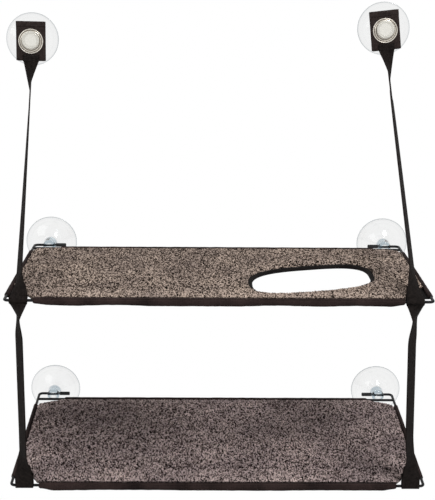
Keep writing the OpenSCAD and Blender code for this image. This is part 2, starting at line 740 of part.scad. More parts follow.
// Strap between the trays: starts below the upper rail's loop and ends in a long loop in
// which the lower rail has room to rise as the trays fold
link_turn_start = 16;
loop_close_len = 9;
link_run_stations = 8;
open_stations = 5;
module link_strap(top_x, foot_x, turn_sign) {
    upper_rail = [top_x, upper_rail_y, upper_rail_z];
    lower_rail = [foot_x, lower_rail_y, lower_rail_z];
    down = unit(lower_rail - upper_rail);
    // Square to the rails, so that the loop lies flat on them
    flat_down = unit([0, down[1], down[2]]);
    total_len = norm(lower_rail - upper_rail);
    top_gap = hanger_loop_r + strap_t / 2 + seat_gap;
    side_r = (loop_w + strap_t) / 2;
    // Height above the lower rail's centre at which the loop's round foot is centred
    foot_up = loop_w / 2 - wire_r - seat_gap;
    // Height above the lower rail's centre at which the loop's sides start to close
    open_up = loop_h - 2 * wire_r - seat_gap;
    lap_end = loop_h + link_lap;
    turn_at = function (above)
        let (below = total_len - top_gap - above)
        turn_sign * min(
            fan_turn(link_pinch, below / link_top_len),
            mix(link_pinch, link_turn, ease((below - link_top_len) / link_open_len)),
            fan_turn(link_turn, (above - link_turn_start) / link_fan_len));
    spread = function (above)
        mix(side_r, lap_pitch / 2, ease((above - open_up) / loop_close_len));
    place = function (above) station(lower_rail - above * down, flat_down, turn_at(above));
    top_up = total_len - top_gap;
    run_up = top_up - link_top_len - link_open_len;
    fan_up = link_turn_start + link_fan_len;
    heights = concat(
        [for (i = [0 : turn_stations]) top_up - link_top_len * fan_share(i)],
        [for (i = [1 : open_stations]) top_up - link_top_len - link_open_len * i / open_stations],
        [for (i = [1 : link_run_stations - 1]) mix(run_up, fan_up, i / link_run_stations)],
        with_step([for (i = [turn_stations : -1 : 0]) mix(link_turn_start, fan_up, fan_share(i))], lap_end),
        [for (i = [1 : tail_stations]) mix(link_turn_start, foot_up, i / tail_stations)]);
    front_side = [for (above = heights) shifted(place(above), spread(above))];
    foot = place(foot_up);
    arc = [for (i = [1 : arc_stations - 1])
        let (
            a = 180 * i / arc_stations,
            out = cos(a) * foot[2] + sin(a) * flat_down
        )
        [foot[0] + side_r * out, foot[1], out]];
    lap_up = [for (h = heights) if (h <= lap_end) h];
    back_side = [for (i = [len(lap_up) - 1 : -1 : 0])
        let (s = shifted(place(lap_up[i]), -spread(lap_up[i]))) [s[0], s[1], -s[2]]];
    ribbon(concat(front_side, arc, back_side));
}

wire_colour = "#1c1b1c";
fabric_colour = "#232022";
plush_colour = "#83766d";
clear_colour = [0.9, 0.93, 0.94, 0.6];
metal_colour = "#cfc9bb";
foam_colour = "#d9d4c4";

module upper_wire_frame() { color(wire_colour) upper_place() wire_frame(); }
module upper_crossbar() { color(wire_colour) upper_place() crossbar(); }
module upper_end_cap_left() { color(wire_colour) upper_place() end_cap(-1); }
module upper_end_cap_right() { color(wire_colour) upper_place() end_cap(1); }
module upper_front_sleeve() { color(fabric_colour) upper_place() front_sleeve(); }
module upper_left_sleeve() { color(fabric_colour) upper_place() side_sleeve(-1); }
module upper_right_sleeve() { color(fabric_colour) upper_place() side_sleeve(1); }
module upper_rear_sleeve() { color(fabric_colour) upper_place() rear_sleeve(); }
module upper_bottom_panel() { color(fabric_colour) upper_place() bottom_panel(hole_centre, true); }
module upper_foam_pad() { color(foam_colour) upper_place() foam_pad(hole_centre, true); }
module upper_plush_top() { color(plush_colour) upper_place() upper_plush(); }
module upper_hole_binding() { color(fabric_colour) upper_place() hole_binding(); }
module lower_wire_frame() { color(wire_colour) lower_place() wire_frame(); }
module lower_crossbar() { color(wire_colour) lower_place() crossbar(); }
module lower_end_cap_left() { color(wire_colour) lower_place() end_cap(-1); }
module lower_end_cap_right() { color(wire_colour) lower_place() end_cap(1); }
module lower_front_sleeve() { color(fabric_colour) lower_place() front_sleeve(); }
module lower_left_sleeve() { color(fabric_colour) lower_place() side_sleeve(-1); }
module lower_right_sleeve() { color(fabric_colour) lower_place() side_sleeve(1); }
module lower_rear_sleeve() { color(fabric_colour) lower_place() rear_sleeve(); }
module lower_bottom_panel() { color(fabric_colour) lower_place() bottom_panel(lower_centre, false); }
module lower_foam_pad() { color(foam_colour) lower_place() foam_pad(lower_centre, false); }
module lower_plush_top() { color(plush_colour) lower_place() lower_plush(); }
module top_cup_left() { color(clear_colour) top_cup(left_cup_x, left_cup_z); }
module top_cup_right() { color(clear_colour) top_cup(right_cup_x, right_cup_z); }
module upper_rear_cup_left() { color(clear_colour) rear_cup(-1, 0); }
module upper_rear_cup_right() { color(clear_colour) rear_cup(1, 0); }
module lower_rear_cup_left() { color(clear_colour) rear_cup(-1, -tier_gap); }
module lower_rear_cup_right() { color(clear_colour) rear_cup(1, -tier_gap); }
module left_tab() { color(fabric_colour) left_tab_place() tab(); }
module right_tab() { color(fabric_colour) right_tab_place() tab(); }
module left_grommet() { color(metal_colour) left_tab_place() grommet(); }
module right_grommet() { color(metal_colour) right_tab_place() grommet(); }
module left_grommet_washer() { color(metal_colour) left_tab_place() grommet_washer(); }
module right_grommet_washer() { color(metal_colour) right_tab_place() grommet_washer(); }
module left_hanger_strap() {
    color(fabric_colour) hanger_strap(left_cup_x, left_cup_z, left_tab_lean, upper_left_strap_x, left_fan_len, 1);
}
module right_hanger_strap() {
    color(fabric_colour) hanger_strap(right_cup_x, right_cup_z, right_tab_lean, upper_right_strap_x, right_fan_len, -1);
}
module left_link_strap() {
    color(fabric_colour) link_strap(upper_left_strap_x, lower_left_strap_x, 1);
}
module right_link_strap() {
    color(fabric_colour) link_strap(upper_right_strap_x, lower_right_strap_x, -1);
}

upper_wire_frame();
upper_crossbar();
upper_end_cap_left();
upper_end_cap_right();
upper_front_sleeve();
upper_left_sleeve();
upper_right_sleeve();
upper_rear_sleeve();
upper_bottom_panel();
upper_foam_pad();
upper_plush_top();
upper_hole_binding();
lower_wire_frame();
lower_crossbar();
lower_end_cap_left();
lower_end_cap_right();
lower_front_sleeve();
lower_left_sleeve();
lower_right_sleeve();
lower_rear_sleeve();
lower_bottom_panel();
lower_foam_pad();
lower_plush_top();
top_cup_left();
top_cup_right();
upper_rear_cup_left();
upper_rear_cup_right();
lower_rear_cup_left();
lower_rear_cup_right();
left_tab();
right_tab();
left_grommet();
right_grommet();
left_grommet_washer();
right_grommet_washer();
left_hanger_strap();
right_hanger_strap();
left_link_strap();
right_link_strap();
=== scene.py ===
import math

import bpy
import numpy as np
from mathutils import Matrix, Vector


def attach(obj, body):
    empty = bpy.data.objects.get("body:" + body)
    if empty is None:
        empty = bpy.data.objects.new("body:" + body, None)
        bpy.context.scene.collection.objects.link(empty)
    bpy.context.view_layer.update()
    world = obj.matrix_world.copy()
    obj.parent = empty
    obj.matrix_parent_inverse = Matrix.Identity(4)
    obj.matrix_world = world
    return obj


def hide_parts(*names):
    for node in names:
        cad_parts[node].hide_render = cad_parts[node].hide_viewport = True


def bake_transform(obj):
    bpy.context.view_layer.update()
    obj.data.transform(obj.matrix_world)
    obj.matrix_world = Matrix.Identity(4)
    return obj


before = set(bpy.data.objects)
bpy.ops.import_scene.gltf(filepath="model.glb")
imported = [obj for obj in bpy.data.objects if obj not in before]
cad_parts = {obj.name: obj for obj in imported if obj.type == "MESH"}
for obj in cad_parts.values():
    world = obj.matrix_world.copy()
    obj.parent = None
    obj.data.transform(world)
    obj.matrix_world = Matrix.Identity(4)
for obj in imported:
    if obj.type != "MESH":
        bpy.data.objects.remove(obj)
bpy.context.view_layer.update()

# Sizes of the object, in metres, as in the part's source
MM = 0.001
HINGE_H = 25 * MM
TRAY_HALF_W = 290 * MM
TRAY_DEPTH = 305 * MM
TIER_GAP = 252 * MM
LOWER_DROOP = math.radians(3.5)
CROSSBAR_BACK = 22 * MM
WIRE_R = 2 * MM
STRAP_W = 25 * MM
STRAP_T = 1.8 * MM
SEAT_GAP = 0.2 * MM

# The tray covers: corners of the outline, from the hinge line forward
COVER_HALF_W = 283 * MM
COVER_REAR = 27 * MM
COVER_FRONT = 299.8 * MM
REAR_CORNER_X = 250 * MM
REAR_CORNER_BACK = 54 * MM
FRONT_CORNER_X = 255 * MM
FRONT_CORNER_BACK = 244.8 * MM
HOLE_CENTRE = np.array([133.5, -203]) * MM
HOLE_A = 86 * MM
HOLE_B = 67 * MM
HOLE_SKEW = 0.29
HOLE_FULLNESS = 3
BINDING_W = 6 * MM


# Materials

TWILL_PITCH = 1.5 * MM


def put(node, socket, source):
    """Gives a node's input a value, or a link from another node's output."""
    if isinstance(source, bpy.types.NodeSocket):
        node.id_data.links.new(source, node.inputs[socket])
    else:
        node.inputs[socket].default_value = source


def add(tree, kind, *sources, **values):
    """A new node. Sources fill its inputs in order; values set its inputs or settings by name."""
    node = tree.nodes.new("ShaderNode" + kind)
    for key, value in values.items():
        if key in node.inputs:
            put(node, key, value)
        else:
            setattr(node, key, value)
    for place, source in enumerate(sources):
        put(node, place, source)
    return node


def weigh(tree, source, factor, base):
    """The source times a factor, plus a base."""
    return add(tree, "Math", source, factor, base, operation="MULTIPLY_ADD").outputs[0]


def larger(tree, first, second):
    return add(tree, "Math", first, second, operation="MAXIMUM").outputs[0]


def noise(tree, coords, scale, detail, roughness=0.5):
    return add(tree, "TexNoise", Vector=coords, Scale=scale, Detail=detail,
               Roughness=roughness).outputs["Fac"]


def attribute(tree, name):
    return add(tree, "Attribute", attribute_name=name).outputs["Fac"]


def ramp(tree, source, *stops):
    """The source's colour on a ramp of (place, colour) stops."""
    node = add(tree, "ValToRGB", source)
    elements = node.color_ramp.elements
    while len(elements) < len(stops):
        elements.new(0.5)
    for element, (place, colour) in zip(elements, stops):
        element.position = place
        element.color = (*colour, 1)
    return node.outputs["Color"]


def mix(tree, factor, first, second, blend_type="MIX"):
    node = add(tree, "Mix", factor, data_type="RGBA", blend_type=blend_type)
    put(node, 6, first)
    put(node, 7, second)
    return node.outputs[2]


def paint(tree, shader, colour, height, strength, distance):
    """Gives the surface its colour, and a bump by a height."""
    node = add(tree, "Bump", Height=height, Strength=strength, Distance=distance)
    put(shader, "Base Color", colour)
    put(shader, "Normal", node.outputs["Normal"])


def blank_material(name):
    material = bpy.data.materials.new(name)
    material.use_nodes = True
    material.node_tree.nodes.clear()
    return material, material.node_tree


def new_material(name, **sockets):
    """A material with one Principled shader, and the object coordinates for its textures."""
    material, tree = blank_material(name)
    shader = add(tree, "BsdfPrincipled")
    for key, value in sockets.items():
        put(shader, key.replace("_", " "), value)
    put(add(tree, "OutputMaterial"), "Surface", shader.outputs[0])
    return material, tree, shader, add(tree, "TexCoord").outputs["Object"]


def plush_material(name, dark, middle, light):
    """Curly plush: each curl has its own tone, with painted shade in the creases between curls, painted
    shade and light that the mesh carries as the attribute "pile" (darker at the roots, lighter on the
    front roll), fine strands over it and a slow drift over the pad."""
    material, tree, shader, coords = new_material(
        name, Roughness=0.95, Sheen_Weight=0.04, Sheen_Roughness=0.6, Specular_IOR_Level=0.03,
        Sheen_Tint=(*light, 1))
    # Curls lie along the tray's depth
    lay = add(tree, "Mapping", Vector=coords, Scale=(1.0, 0.42, 1.0),
              Rotation=(0.0, 0.0, math.radians(14))).outputs["Vector"]
    curls = add(tree, "TexVoronoi", Vector=lay, Scale=700.0, Randomness=1.0)
    own = add(tree, "SeparateColor", curls.outputs["Color"])
    shade = weigh(tree, own.outputs[0], 1.3, 0.0)
    # Painted shade: darker towards each curl's edge, in the creases between curls
    shade = weigh(tree, curls.outputs["Distance"], -0.6, shade)
    strands = noise(tree, lay, scale=1000.0, detail=1.0, roughness=0.7)
    relief = weigh(tree, strands, 1.3, shade)
    # Painted shade and light from the mesh: darker at the tufts' roots and under the pad's rim, lighter
    # on the front roll
    shade = weigh(tree, attribute(tree, "pile"), 0.45, relief)
    shade = weigh(tree, shade, 1.0, -0.81)
    colours = ramp(tree, shade, (0.1, dark), (0.45, middle), (1.0, light))
    drift = noise(tree, coords, scale=13.0, detail=4.0, roughness=0.62)
    tone = ramp(tree, drift, (0.3, (0.66, 0.65, 0.67)), (0.5, (0.96, 0.95, 0.95)),
                (0.72, (1.3, 1.29, 1.26)))
    colours = mix(tree, 1.0, colours, tone, blend_type="MULTIPLY")
    paint(tree, shader, colours, relief, strength=0.8, distance=1.2 * MM)
    return material


def webbing_material(name, dark, light):
    """Woven webbing: ribs across the strap in a twill, by the strap's own coordinates."""
    material, tree, shader, coords = new_material(
        name, Roughness=0.75, Sheen_Weight=0.0, Sheen_Roughness=0.4, Specular_IOR_Level=0.06)
    split = add(tree, "SeparateXYZ", add(tree, "UVMap", uv_map="strap").outputs["UV"])
    ribs = []
    for slope in (1.0, -1.0):
        lean = weigh(tree, split.outputs["X"], slope, split.outputs["Y"])
        turns = add(tree, "Math", lean, 2 * math.pi / TWILL_PITCH, operation="MULTIPLY")
        ribs.append(add(tree, "Math", turns.outputs[0], operation="SINE").outputs[0])
    weave = weigh(tree, larger(tree, *ribs), 0.3, noise(tree, coords, scale=260.0, detail=4.0))
    colours = ramp(tree, weave, (0.15, dark), (0.85, light))
    paint(tree, shader, colours, weave, strength=0.7, distance=0.4 * MM)
    return material


def cloth_material(name, dark, light, scale=900.0):
    """Plain woven cloth: a fine crossed weave with faint wear."""
    material, tree, shader, coords = new_material(
        name, Roughness=0.8, Sheen_Weight=0.01, Sheen_Roughness=0.5, Specular_IOR_Level=0.08)
    checks = add(tree, "TexVoronoi", Vector=coords, Scale=scale, Randomness=0.35).outputs["Distance"]
    worn = weigh(tree, checks, 0.45, noise(tree, coords, scale=24.0, detail=5.0))
    colours = ramp(tree, worn, (0.35, dark), (0.95, light))
    paint(tree, shader, colours, checks, strength=0.5, distance=0.3 * MM)
    return material


def grained_material(name, grain, stops, strength, **sockets):
    """A plain coat with a faint grain in its colour and its surface."""
    material, tree, shader, coords = new_material(name, **sockets)
    spots = noise(tree, coords, **grain)
    paint(tree, shader, ramp(tree, spots, *stops), spots, strength, distance=0.2 * MM)
    return material


def vinyl_material():
    """Clear soft vinyl: see-through with a grey body, and painted shade at rims and edges for the
    darkening that refraction gives clear vinyl there, which the cups' meshes carry as the attribute
    "rim"; at its full value it is a painted bluish reflection on the rear cups' knobs."""
    material, tree, shader, coords = new_material(
        "clear vinyl", Roughness=0.06, IOR=1.4, Transmission_Weight=1.0, Specular_IOR_Level=0.5,
        Coat_Weight=0.25, Coat_Roughness=0.04)
    cloud = noise(tree, coords, scale=38.0, detail=3.0)
    put(shader, "Roughness", ramp(tree, cloud, (0.3, (0.03,) * 3), (0.8, (0.12,) * 3)))
    # Painted shade by the attribute "rim": darker at rims and edges, and a painted bluish reflection at
    # its full value
    body_and_rim_shade = ramp(tree, weigh(tree, cloud, 0.12, attribute(tree, "rim")), (0.0, (0.93, 0.932, 0.93)),
                (0.38, (0.84, 0.845, 0.845)), (0.76, (0.52, 0.55, 0.57)), (1.0, (0.2, 0.27, 0.32)))
    # The button heads are thick and look milky
    milk = attribute(tree, "milk")
    put(shader, "Transmission Weight", weigh(tree, milk, -0.8, 1.0))
    colours = mix(tree, milk, body_and_rim_shade, (0.86, 0.84, 0.77, 1))
    paint(tree, shader, colours, cloud, strength=0.12, distance=0.6 * MM)
    return material


def metal_material():
    """Bright plated metal, with painted shade in its grooves and under its rim by the mesh attribute
    "groove".
    """
    material, tree, shader, coords = new_material("grommet metal", Metallic=0.55, Roughness=0.22)
    wear = noise(tree, coords, scale=420.0, detail=5.0)
    plate = ramp(tree, wear, (0.3, (0.82, 0.76, 0.66)), (0.75, (1.0, 0.96, 0.88)))
    # Painted shade in the grooves and under the rim
    groove_shaded = mix(tree, attribute(tree, "groove"), plate, (0.07, 0.045, 0.03, 1))
    put(shader, "Base Color", groove_shaded)
    put(shader, "Roughness", ramp(tree, wear, (0.3, (0.15,) * 3), (0.8, (0.34,) * 3)))
    return material


UPPER_PLUSH = plush_material(
    "upper plush", (0.001, 0.0007, 0.0006), (0.175, 0.131, 0.107), (0.66, 0.53, 0.45))
# This plush has its own pinker tone, and is also painted lighter to make up for the shade that the
# upper tray casts on it
LOWER_PLUSH_PAINTED_LIGHTER = plush_material(
    "lower plush painted lighter", (0.001, 0.0007, 0.0007), (0.197, 0.149, 0.143), (0.62, 0.5, 0.48))
WEBBING = webbing_material("black webbing", (0.0012, 0.001, 0.001), (0.021, 0.0165, 0.015))
TAB_WEBBING = webbing_material("tab webbing", (0.008, 0.0055, 0.005), (0.046, 0.034, 0.031))
CLOTH = cloth_material("black cloth", (0.0025, 0.002, 0.002), (0.017, 0.0145, 0.014))
SLEEVE_CLOTH = cloth_material(
    "sleeve cloth", (0.0015, 0.001, 0.001), (0.045, 0.029, 0.027), scale=420.0)
WIRE = grained_material(
    "coated wire", {"scale": 180.0, "detail": 5.0, "roughness": 0.65},
    [(0.3, (0.006, 0.006, 0.007)), (0.75, (0.02, 0.02, 0.022))], strength=0.25,
    Roughness=0.45, Specular_IOR_Level=0.14, Coat_Weight=0.02, Coat_Roughness=0.3)
RUBBER = grained_material(
    "cap rubber", {"scale": 320.0, "detail": 4.0},
    [(0.3, (0.006, 0.006, 0.007)), (0.8, (0.016, 0.016, 0.017))], strength=0.3,
    Roughness=0.6, Specular_IOR_Level=0.4)
VINYL = vinyl_material()
METAL = metal_material()
THREAD = cloth_material("black thread", (0.01, 0.009, 0.01), (0.05, 0.046, 0.046), scale=1800.0)


# Mesh helpers

def new_object(name, data):
    obj = bpy.data.objects.new(name, data)
    bpy.context.scene.collection.objects.link(obj)
    return obj


def make_object(name, points, faces, material, smooth=True):
    mesh = bpy.data.meshes.new(name)
    mesh.from_pydata([tuple(p) for p in points], [], [tuple(f) for f in faces])
    mesh.validate()
    if smooth:
        mesh.polygons.foreach_set("use_smooth", [True] * len(mesh.polygons))
    mesh.materials.append(material)
    return new_object(name, mesh)


def claim(obj, body, slot, *nodes):
    """Makes a piece ride on a body and stand for CAD nodes, if any; its material slot is not used."""
    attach(obj, body)
    if nodes:
        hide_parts(*nodes)


def ring_faces(rings, per_ring, closed=False):
    """Quads between rings of points; the last ring joins the first where closed."""
    spans = [(i * per_ring, (i + 1) % rings * per_ring) for i in range(rings if closed else rings - 1)]
    steps = [(j, (j + 1) % per_ring) for j in range(per_ring)]
    return [(a + j, a + n, b + n, b + j) for a, b in spans for j, n in steps]


def tube_faces(rings, per_ring):
    """Quads between rings of points, and a face at each end."""
    last = per_ring * (rings - 1)
    ends = [tuple(range(per_ring - 1, -1, -1)), tuple(range(last, last + per_ring))]
    return ring_faces(rings, per_ring) + ends


def circle(count):
    """Cosine and sine at a number of even turns."""
    a = 2 * math.pi * np.arange(count) / count
    return np.column_stack([np.cos(a), np.sin(a)])


def turned(faces):
    """The same faces, facing the other way."""
    return [face[::-1] for face in faces]


def point_values(obj, name, values):
    """Keeps a number for each point as a mesh attribute, which a material reads."""
    layer = obj.data.attributes.new(name, "FLOAT", "POINT")
    layer.data.foreach_set("value", np.asarray(values, np.float32))


def strap_map(obj, places):
    """Keeps each point's place on its strap, in metres, as the map that the webbing reads."""
    layer = obj.data.uv_layers.new(name="strap")
    index = np.empty(len(obj.data.loops), int)
    obj.data.loops.foreach_get("vertex_index", index)
    layer.data.foreach_set("uv", np.asarray(places, np.float32)[index].ravel())


def place_tray(co, tier):
    """Tray coordinates (hinge line at the origin, forward is -Y) to the row frame."""
    co = np.asarray(co, float)
    if tier == "lower":
        c, s = math.cos(LOWER_DROOP), math.sin(LOWER_DROOP)
        co = np.column_stack([co[:, 0], co[:, 1] * c - co[:, 2] * s, co[:, 1] * s + co[:, 2] * c])
        return co + (0, -HINGE_H, -TIER_GAP)
    return co + (0, -HINGE_H, 0)


def unit(v):
    v = np.asarray(v, float)
    return v / np.linalg.norm(v)


def ease(share):
    """A share from 0 to 1, with a soft start and end."""
    share = np.clip(share, 0, 1)
    return share * share * (3 - 2 * share)


def value_noise(points, cell, seed):
    """Smooth noise from 0 to 1 on the plane, with features of about one cell."""
    table = np.random.default_rng(seed).random((256, 256))
    p = points / cell
    base = np.floor(p).astype(int)
    fx, fy = ease(p - base).T
    x0, y0 = base.T % 256
    x1, y1 = (x0 + 1) % 256, (y0 + 1) % 256
    top = table[x0, y0] * (1 - fx) + table[x1, y0] * fx
    low = table[x0, y1] * (1 - fx) + table[x1, y1] * fx
    return top * (1 - fy) + low * fy


def noise_shift(points, cell, seed):
    """Smooth shifts on the plane, from -0.5 to 0.5 each way."""
    return np.column_stack([value_noise(points, cell, seed + n) - 0.5 for n in (0, 1)])


def tuft_height(points, cell, seed):
    """Height from 0 to 1 of tufts set in a jittered grid: round tops with creases between."""
    local = np.random.default_rng(seed)
    jitter = local.random((256, 256, 2))
    size = 0.75 + 0.5 * local.random((256, 256))
    p = points / cell
    base = np.floor(p).astype(int)
    nearest = np.full(len(p), 9.0)
    for dx in (-1, 0, 1):
        for dy in (-1, 0, 1):
            ix, iy = (base + (dx, dy)).T % 256
            centre = base + (dx, dy) + jitter[ix, iy]
            nearest = np.minimum(nearest, np.hypot(*(p - centre).T) / size[ix, iy])
    return np.clip(1 - nearest ** 1.5, 0, 1)


# Outline of the covers, as in the part's source

CORNERS = np.array([
    (REAR_CORNER_X, -COVER_REAR), (-REAR_CORNER_X, -COVER_REAR),
    (-COVER_HALF_W, -REAR_CORNER_BACK), (-COVER_HALF_W, -FRONT_CORNER_BACK),
    (-FRONT_CORNER_X, -COVER_FRONT), (FRONT_CORNER_X, -COVER_FRONT),
    (COVER_HALF_W, -FRONT_CORNER_BACK), (COVER_HALF_W, -REAR_CORNER_BACK),
])
EDGE_RUNS = np.roll(CORNERS, -1, axis=0) - CORNERS
EDGE_NORMALS = EDGE_RUNS[:, ::-1] * (1, -1) / np.linalg.norm(EDGE_RUNS, axis=1)[:, None]
TINY = 1e-6


def edge_distance(points):
    """Distance inside the cover's outline, negative outside."""
    depths = [(corner - points) @ normal for corner, normal in zip(CORNERS, EDGE_NORMALS)]
    return np.min(depths, axis=0)


def hole_distance(points):
    """Distance outside the oval hole, about right near its edge."""
    d = points - HOLE_CENTRE
    n = HOLE_FULLNESS
    u = np.maximum(np.abs(d[:, 0]), TINY)
    v = np.maximum(np.abs(d[:, 1] - HOLE_SKEW * d[:, 0]), TINY)
    k = ((u / HOLE_A) ** n + (v / HOLE_B) ** n) ** (1 / n)
    slope = k ** (1 - n) * np.hypot(u ** (n - 1) / HOLE_A ** n, v ** (n - 1) / HOLE_B ** n)
    return (k - 1) / np.maximum(slope, TINY)


def hole_curve(margin, turns=180):
    """Points round the oval hole, at a margin outside its edge."""
    c, s = circle(turns).T
    n = HOLE_FULLNESS
    far = (np.abs(c) / (HOLE_A + margin)) ** n + (np.abs(s - HOLE_SKEW * c) / (HOLE_B + margin)) ** n
    return HOLE_CENTRE + circle(turns) * (far ** (-1 / n))[:, None]


# Plush pads

PAD_BASE_Z = -0.4 * MM
PAD_EDGE_Z = 4.2 * MM
PAD_TOP_Z = 6.6 * MM
PAD_SHOULDER = 10 * MM
PINCH_Z = 1.4 * MM
PINCH_RUN = 7 * MM
HOLLOW_DEPTH = 1.5 * MM
HOLLOW_CELLS = (70 * MM, 31 * MM)
PILE = 4.2 * MM
TUFT_CELL = 2.7 * MM
TUFT_WANDER = 2.2 * MM
PILE_SWAY = 2.4 * MM
PILE_OVERHANG = 3.2 * MM
OVERHANG_RUN = 9 * MM
FADE_RUN = 3 * MM
# The pile stops short of the hole's edge, less so at its near side, where it laps over
HOLE_TRIM = 5.6 * MM
HOLE_LAP = 4.2 * MM
LAP_START = 30 * MM
LAP_RUN = 24 * MM
REAR_SHOULDER = 26 * MM
REAR_Z = 0.6 * MM
# The foot turns under the rim in three rings: (inset, height, tone of the pile, which darkens further
# under as painted shade)
FOOT_RINGS = ((0.0, 2.4 * MM, 0.6), (0.8 * MM, 0.6 * MM, 0.5), (2.2 * MM, PAD_BASE_Z, 0.2))
FOOT_RIPPLE = 0.7 * MM
# Painted light on the rolled front edge, whose pile shows side on, and a painted shade line for the
# crease behind it
ROLL_RUN = 34 * MM
ROLL_PAINTED_LIGHT = {"upper": 0.42, "lower": 0.26}
ROLL_CREASE_SHADE = 0.22
ROLL_CREASE_SHADE_W = 5 * MM
GRID = 1.35 * MM
PROBE = 0.2 * MM


def from_rear(points):
    """Share from 0 at the pad's rear edge to 1 where its full height starts."""
    return ease((-points[:, 1] - COVER_REAR) / REAR_SHOULDER)


def near_side(points):
    """Share from 0 behind the hole's middle to 1 at its near edge, where the pile laps over."""
    return ease((HOLE_CENTRE[1] - LAP_START - points[:, 1]) / LAP_RUN)


def pad_depth(points, tier):
    """Distance inside the pad's outline, and outside its hole, negative beyond."""
    depth = edge_distance(points)
    if tier == "upper":
        trim = HOLE_TRIM - HOLE_LAP * near_side(points)
        depth = np.minimum(depth, hole_distance(points) - trim)
    return depth


def pad_slope(points, tier):
    """How fast the distance inside grows, towards +X and towards +Y."""
    here = pad_depth(points, tier)
    steps = PROBE * np.eye(2)
    return np.column_stack([(pad_depth(points + step, tier) - here) / PROBE for step in steps])


def pad_skin(points, tier, seed):
    """Height of the pad's cloth, before its pile: a rounded edge, a low crown, soft hollows."""
    rise = ease(np.clip(edge_distance(points) / PAD_SHOULDER, 0, 1) ** 0.6)
    swell = value_noise(points + 3.7, HOLLOW_CELLS[0], seed)
    swell += 0.5 * value_noise(points + 9.1, HOLLOW_CELLS[1], seed + 1)
    height = PAD_EDGE_Z + (PAD_TOP_Z - PAD_EDGE_Z) * rise + HOLLOW_DEPTH * (swell - 0.75) * rise
    # The rear edge is drawn down flat, so the rear sleeve shows behind it
    height = REAR_Z + (height - REAR_Z) * (0.25 + 0.75 * from_rear(points))
    if tier == "upper":
        away = np.clip((hole_distance(points) - BINDING_W + 1 * MM) / PINCH_RUN, 0, 1)
        height = PINCH_Z + (height - PINCH_Z) * np.sin(away * math.pi / 2)
    return height


def pad_grid(tier):
    """Points and quads of a square grid cut to the pad's outline, and its border's edges."""
    xs = np.arange(-COVER_HALF_W - GRID, COVER_HALF_W + 2 * GRID, GRID)
    ys = np.arange(-COVER_FRONT - GRID, -COVER_REAR + 2 * GRID, GRID)
    gx, gy = np.meshgrid(xs, ys, indexing="ij")
    flat = np.column_stack([gx.ravel(), gy.ravel()])
    keep = pad_depth(flat, tier).reshape(gx.shape) > -0.5 * GRID
    cell = keep[:-1, :-1] & keep[1:, :-1] & keep[:-1, 1:] & keep[1:, 1:]
    ids = np.arange(len(flat)).reshape(gx.shape)
    corners = (ids[:-1, :-1], ids[1:, :-1], ids[1:, 1:], ids[:-1, 1:])
    quads = np.column_stack([corner[cell] for corner in corners])
    used, quads = np.unique(quads, return_inverse=True)
    quads, points = quads.reshape(-1, 4), flat[used]
    # Pull the border's points onto the true outline
    for _ in range(3):
        depth = pad_depth(points, tier)[:, None]
        pull = pad_slope(points, tier) * (depth - 0.15 * MM)
        points = points - np.where(depth < 0.75 * GRID, pull, 0)
    edges = np.concatenate([quads[:, [k, (k + 1) % 4]] for k in range(4)])
    _, first, counts = np.unique(np.sort(edges, axis=1), axis=0, return_index=True, return_counts=True)
    return points, quads, edges[first[counts == 1]]


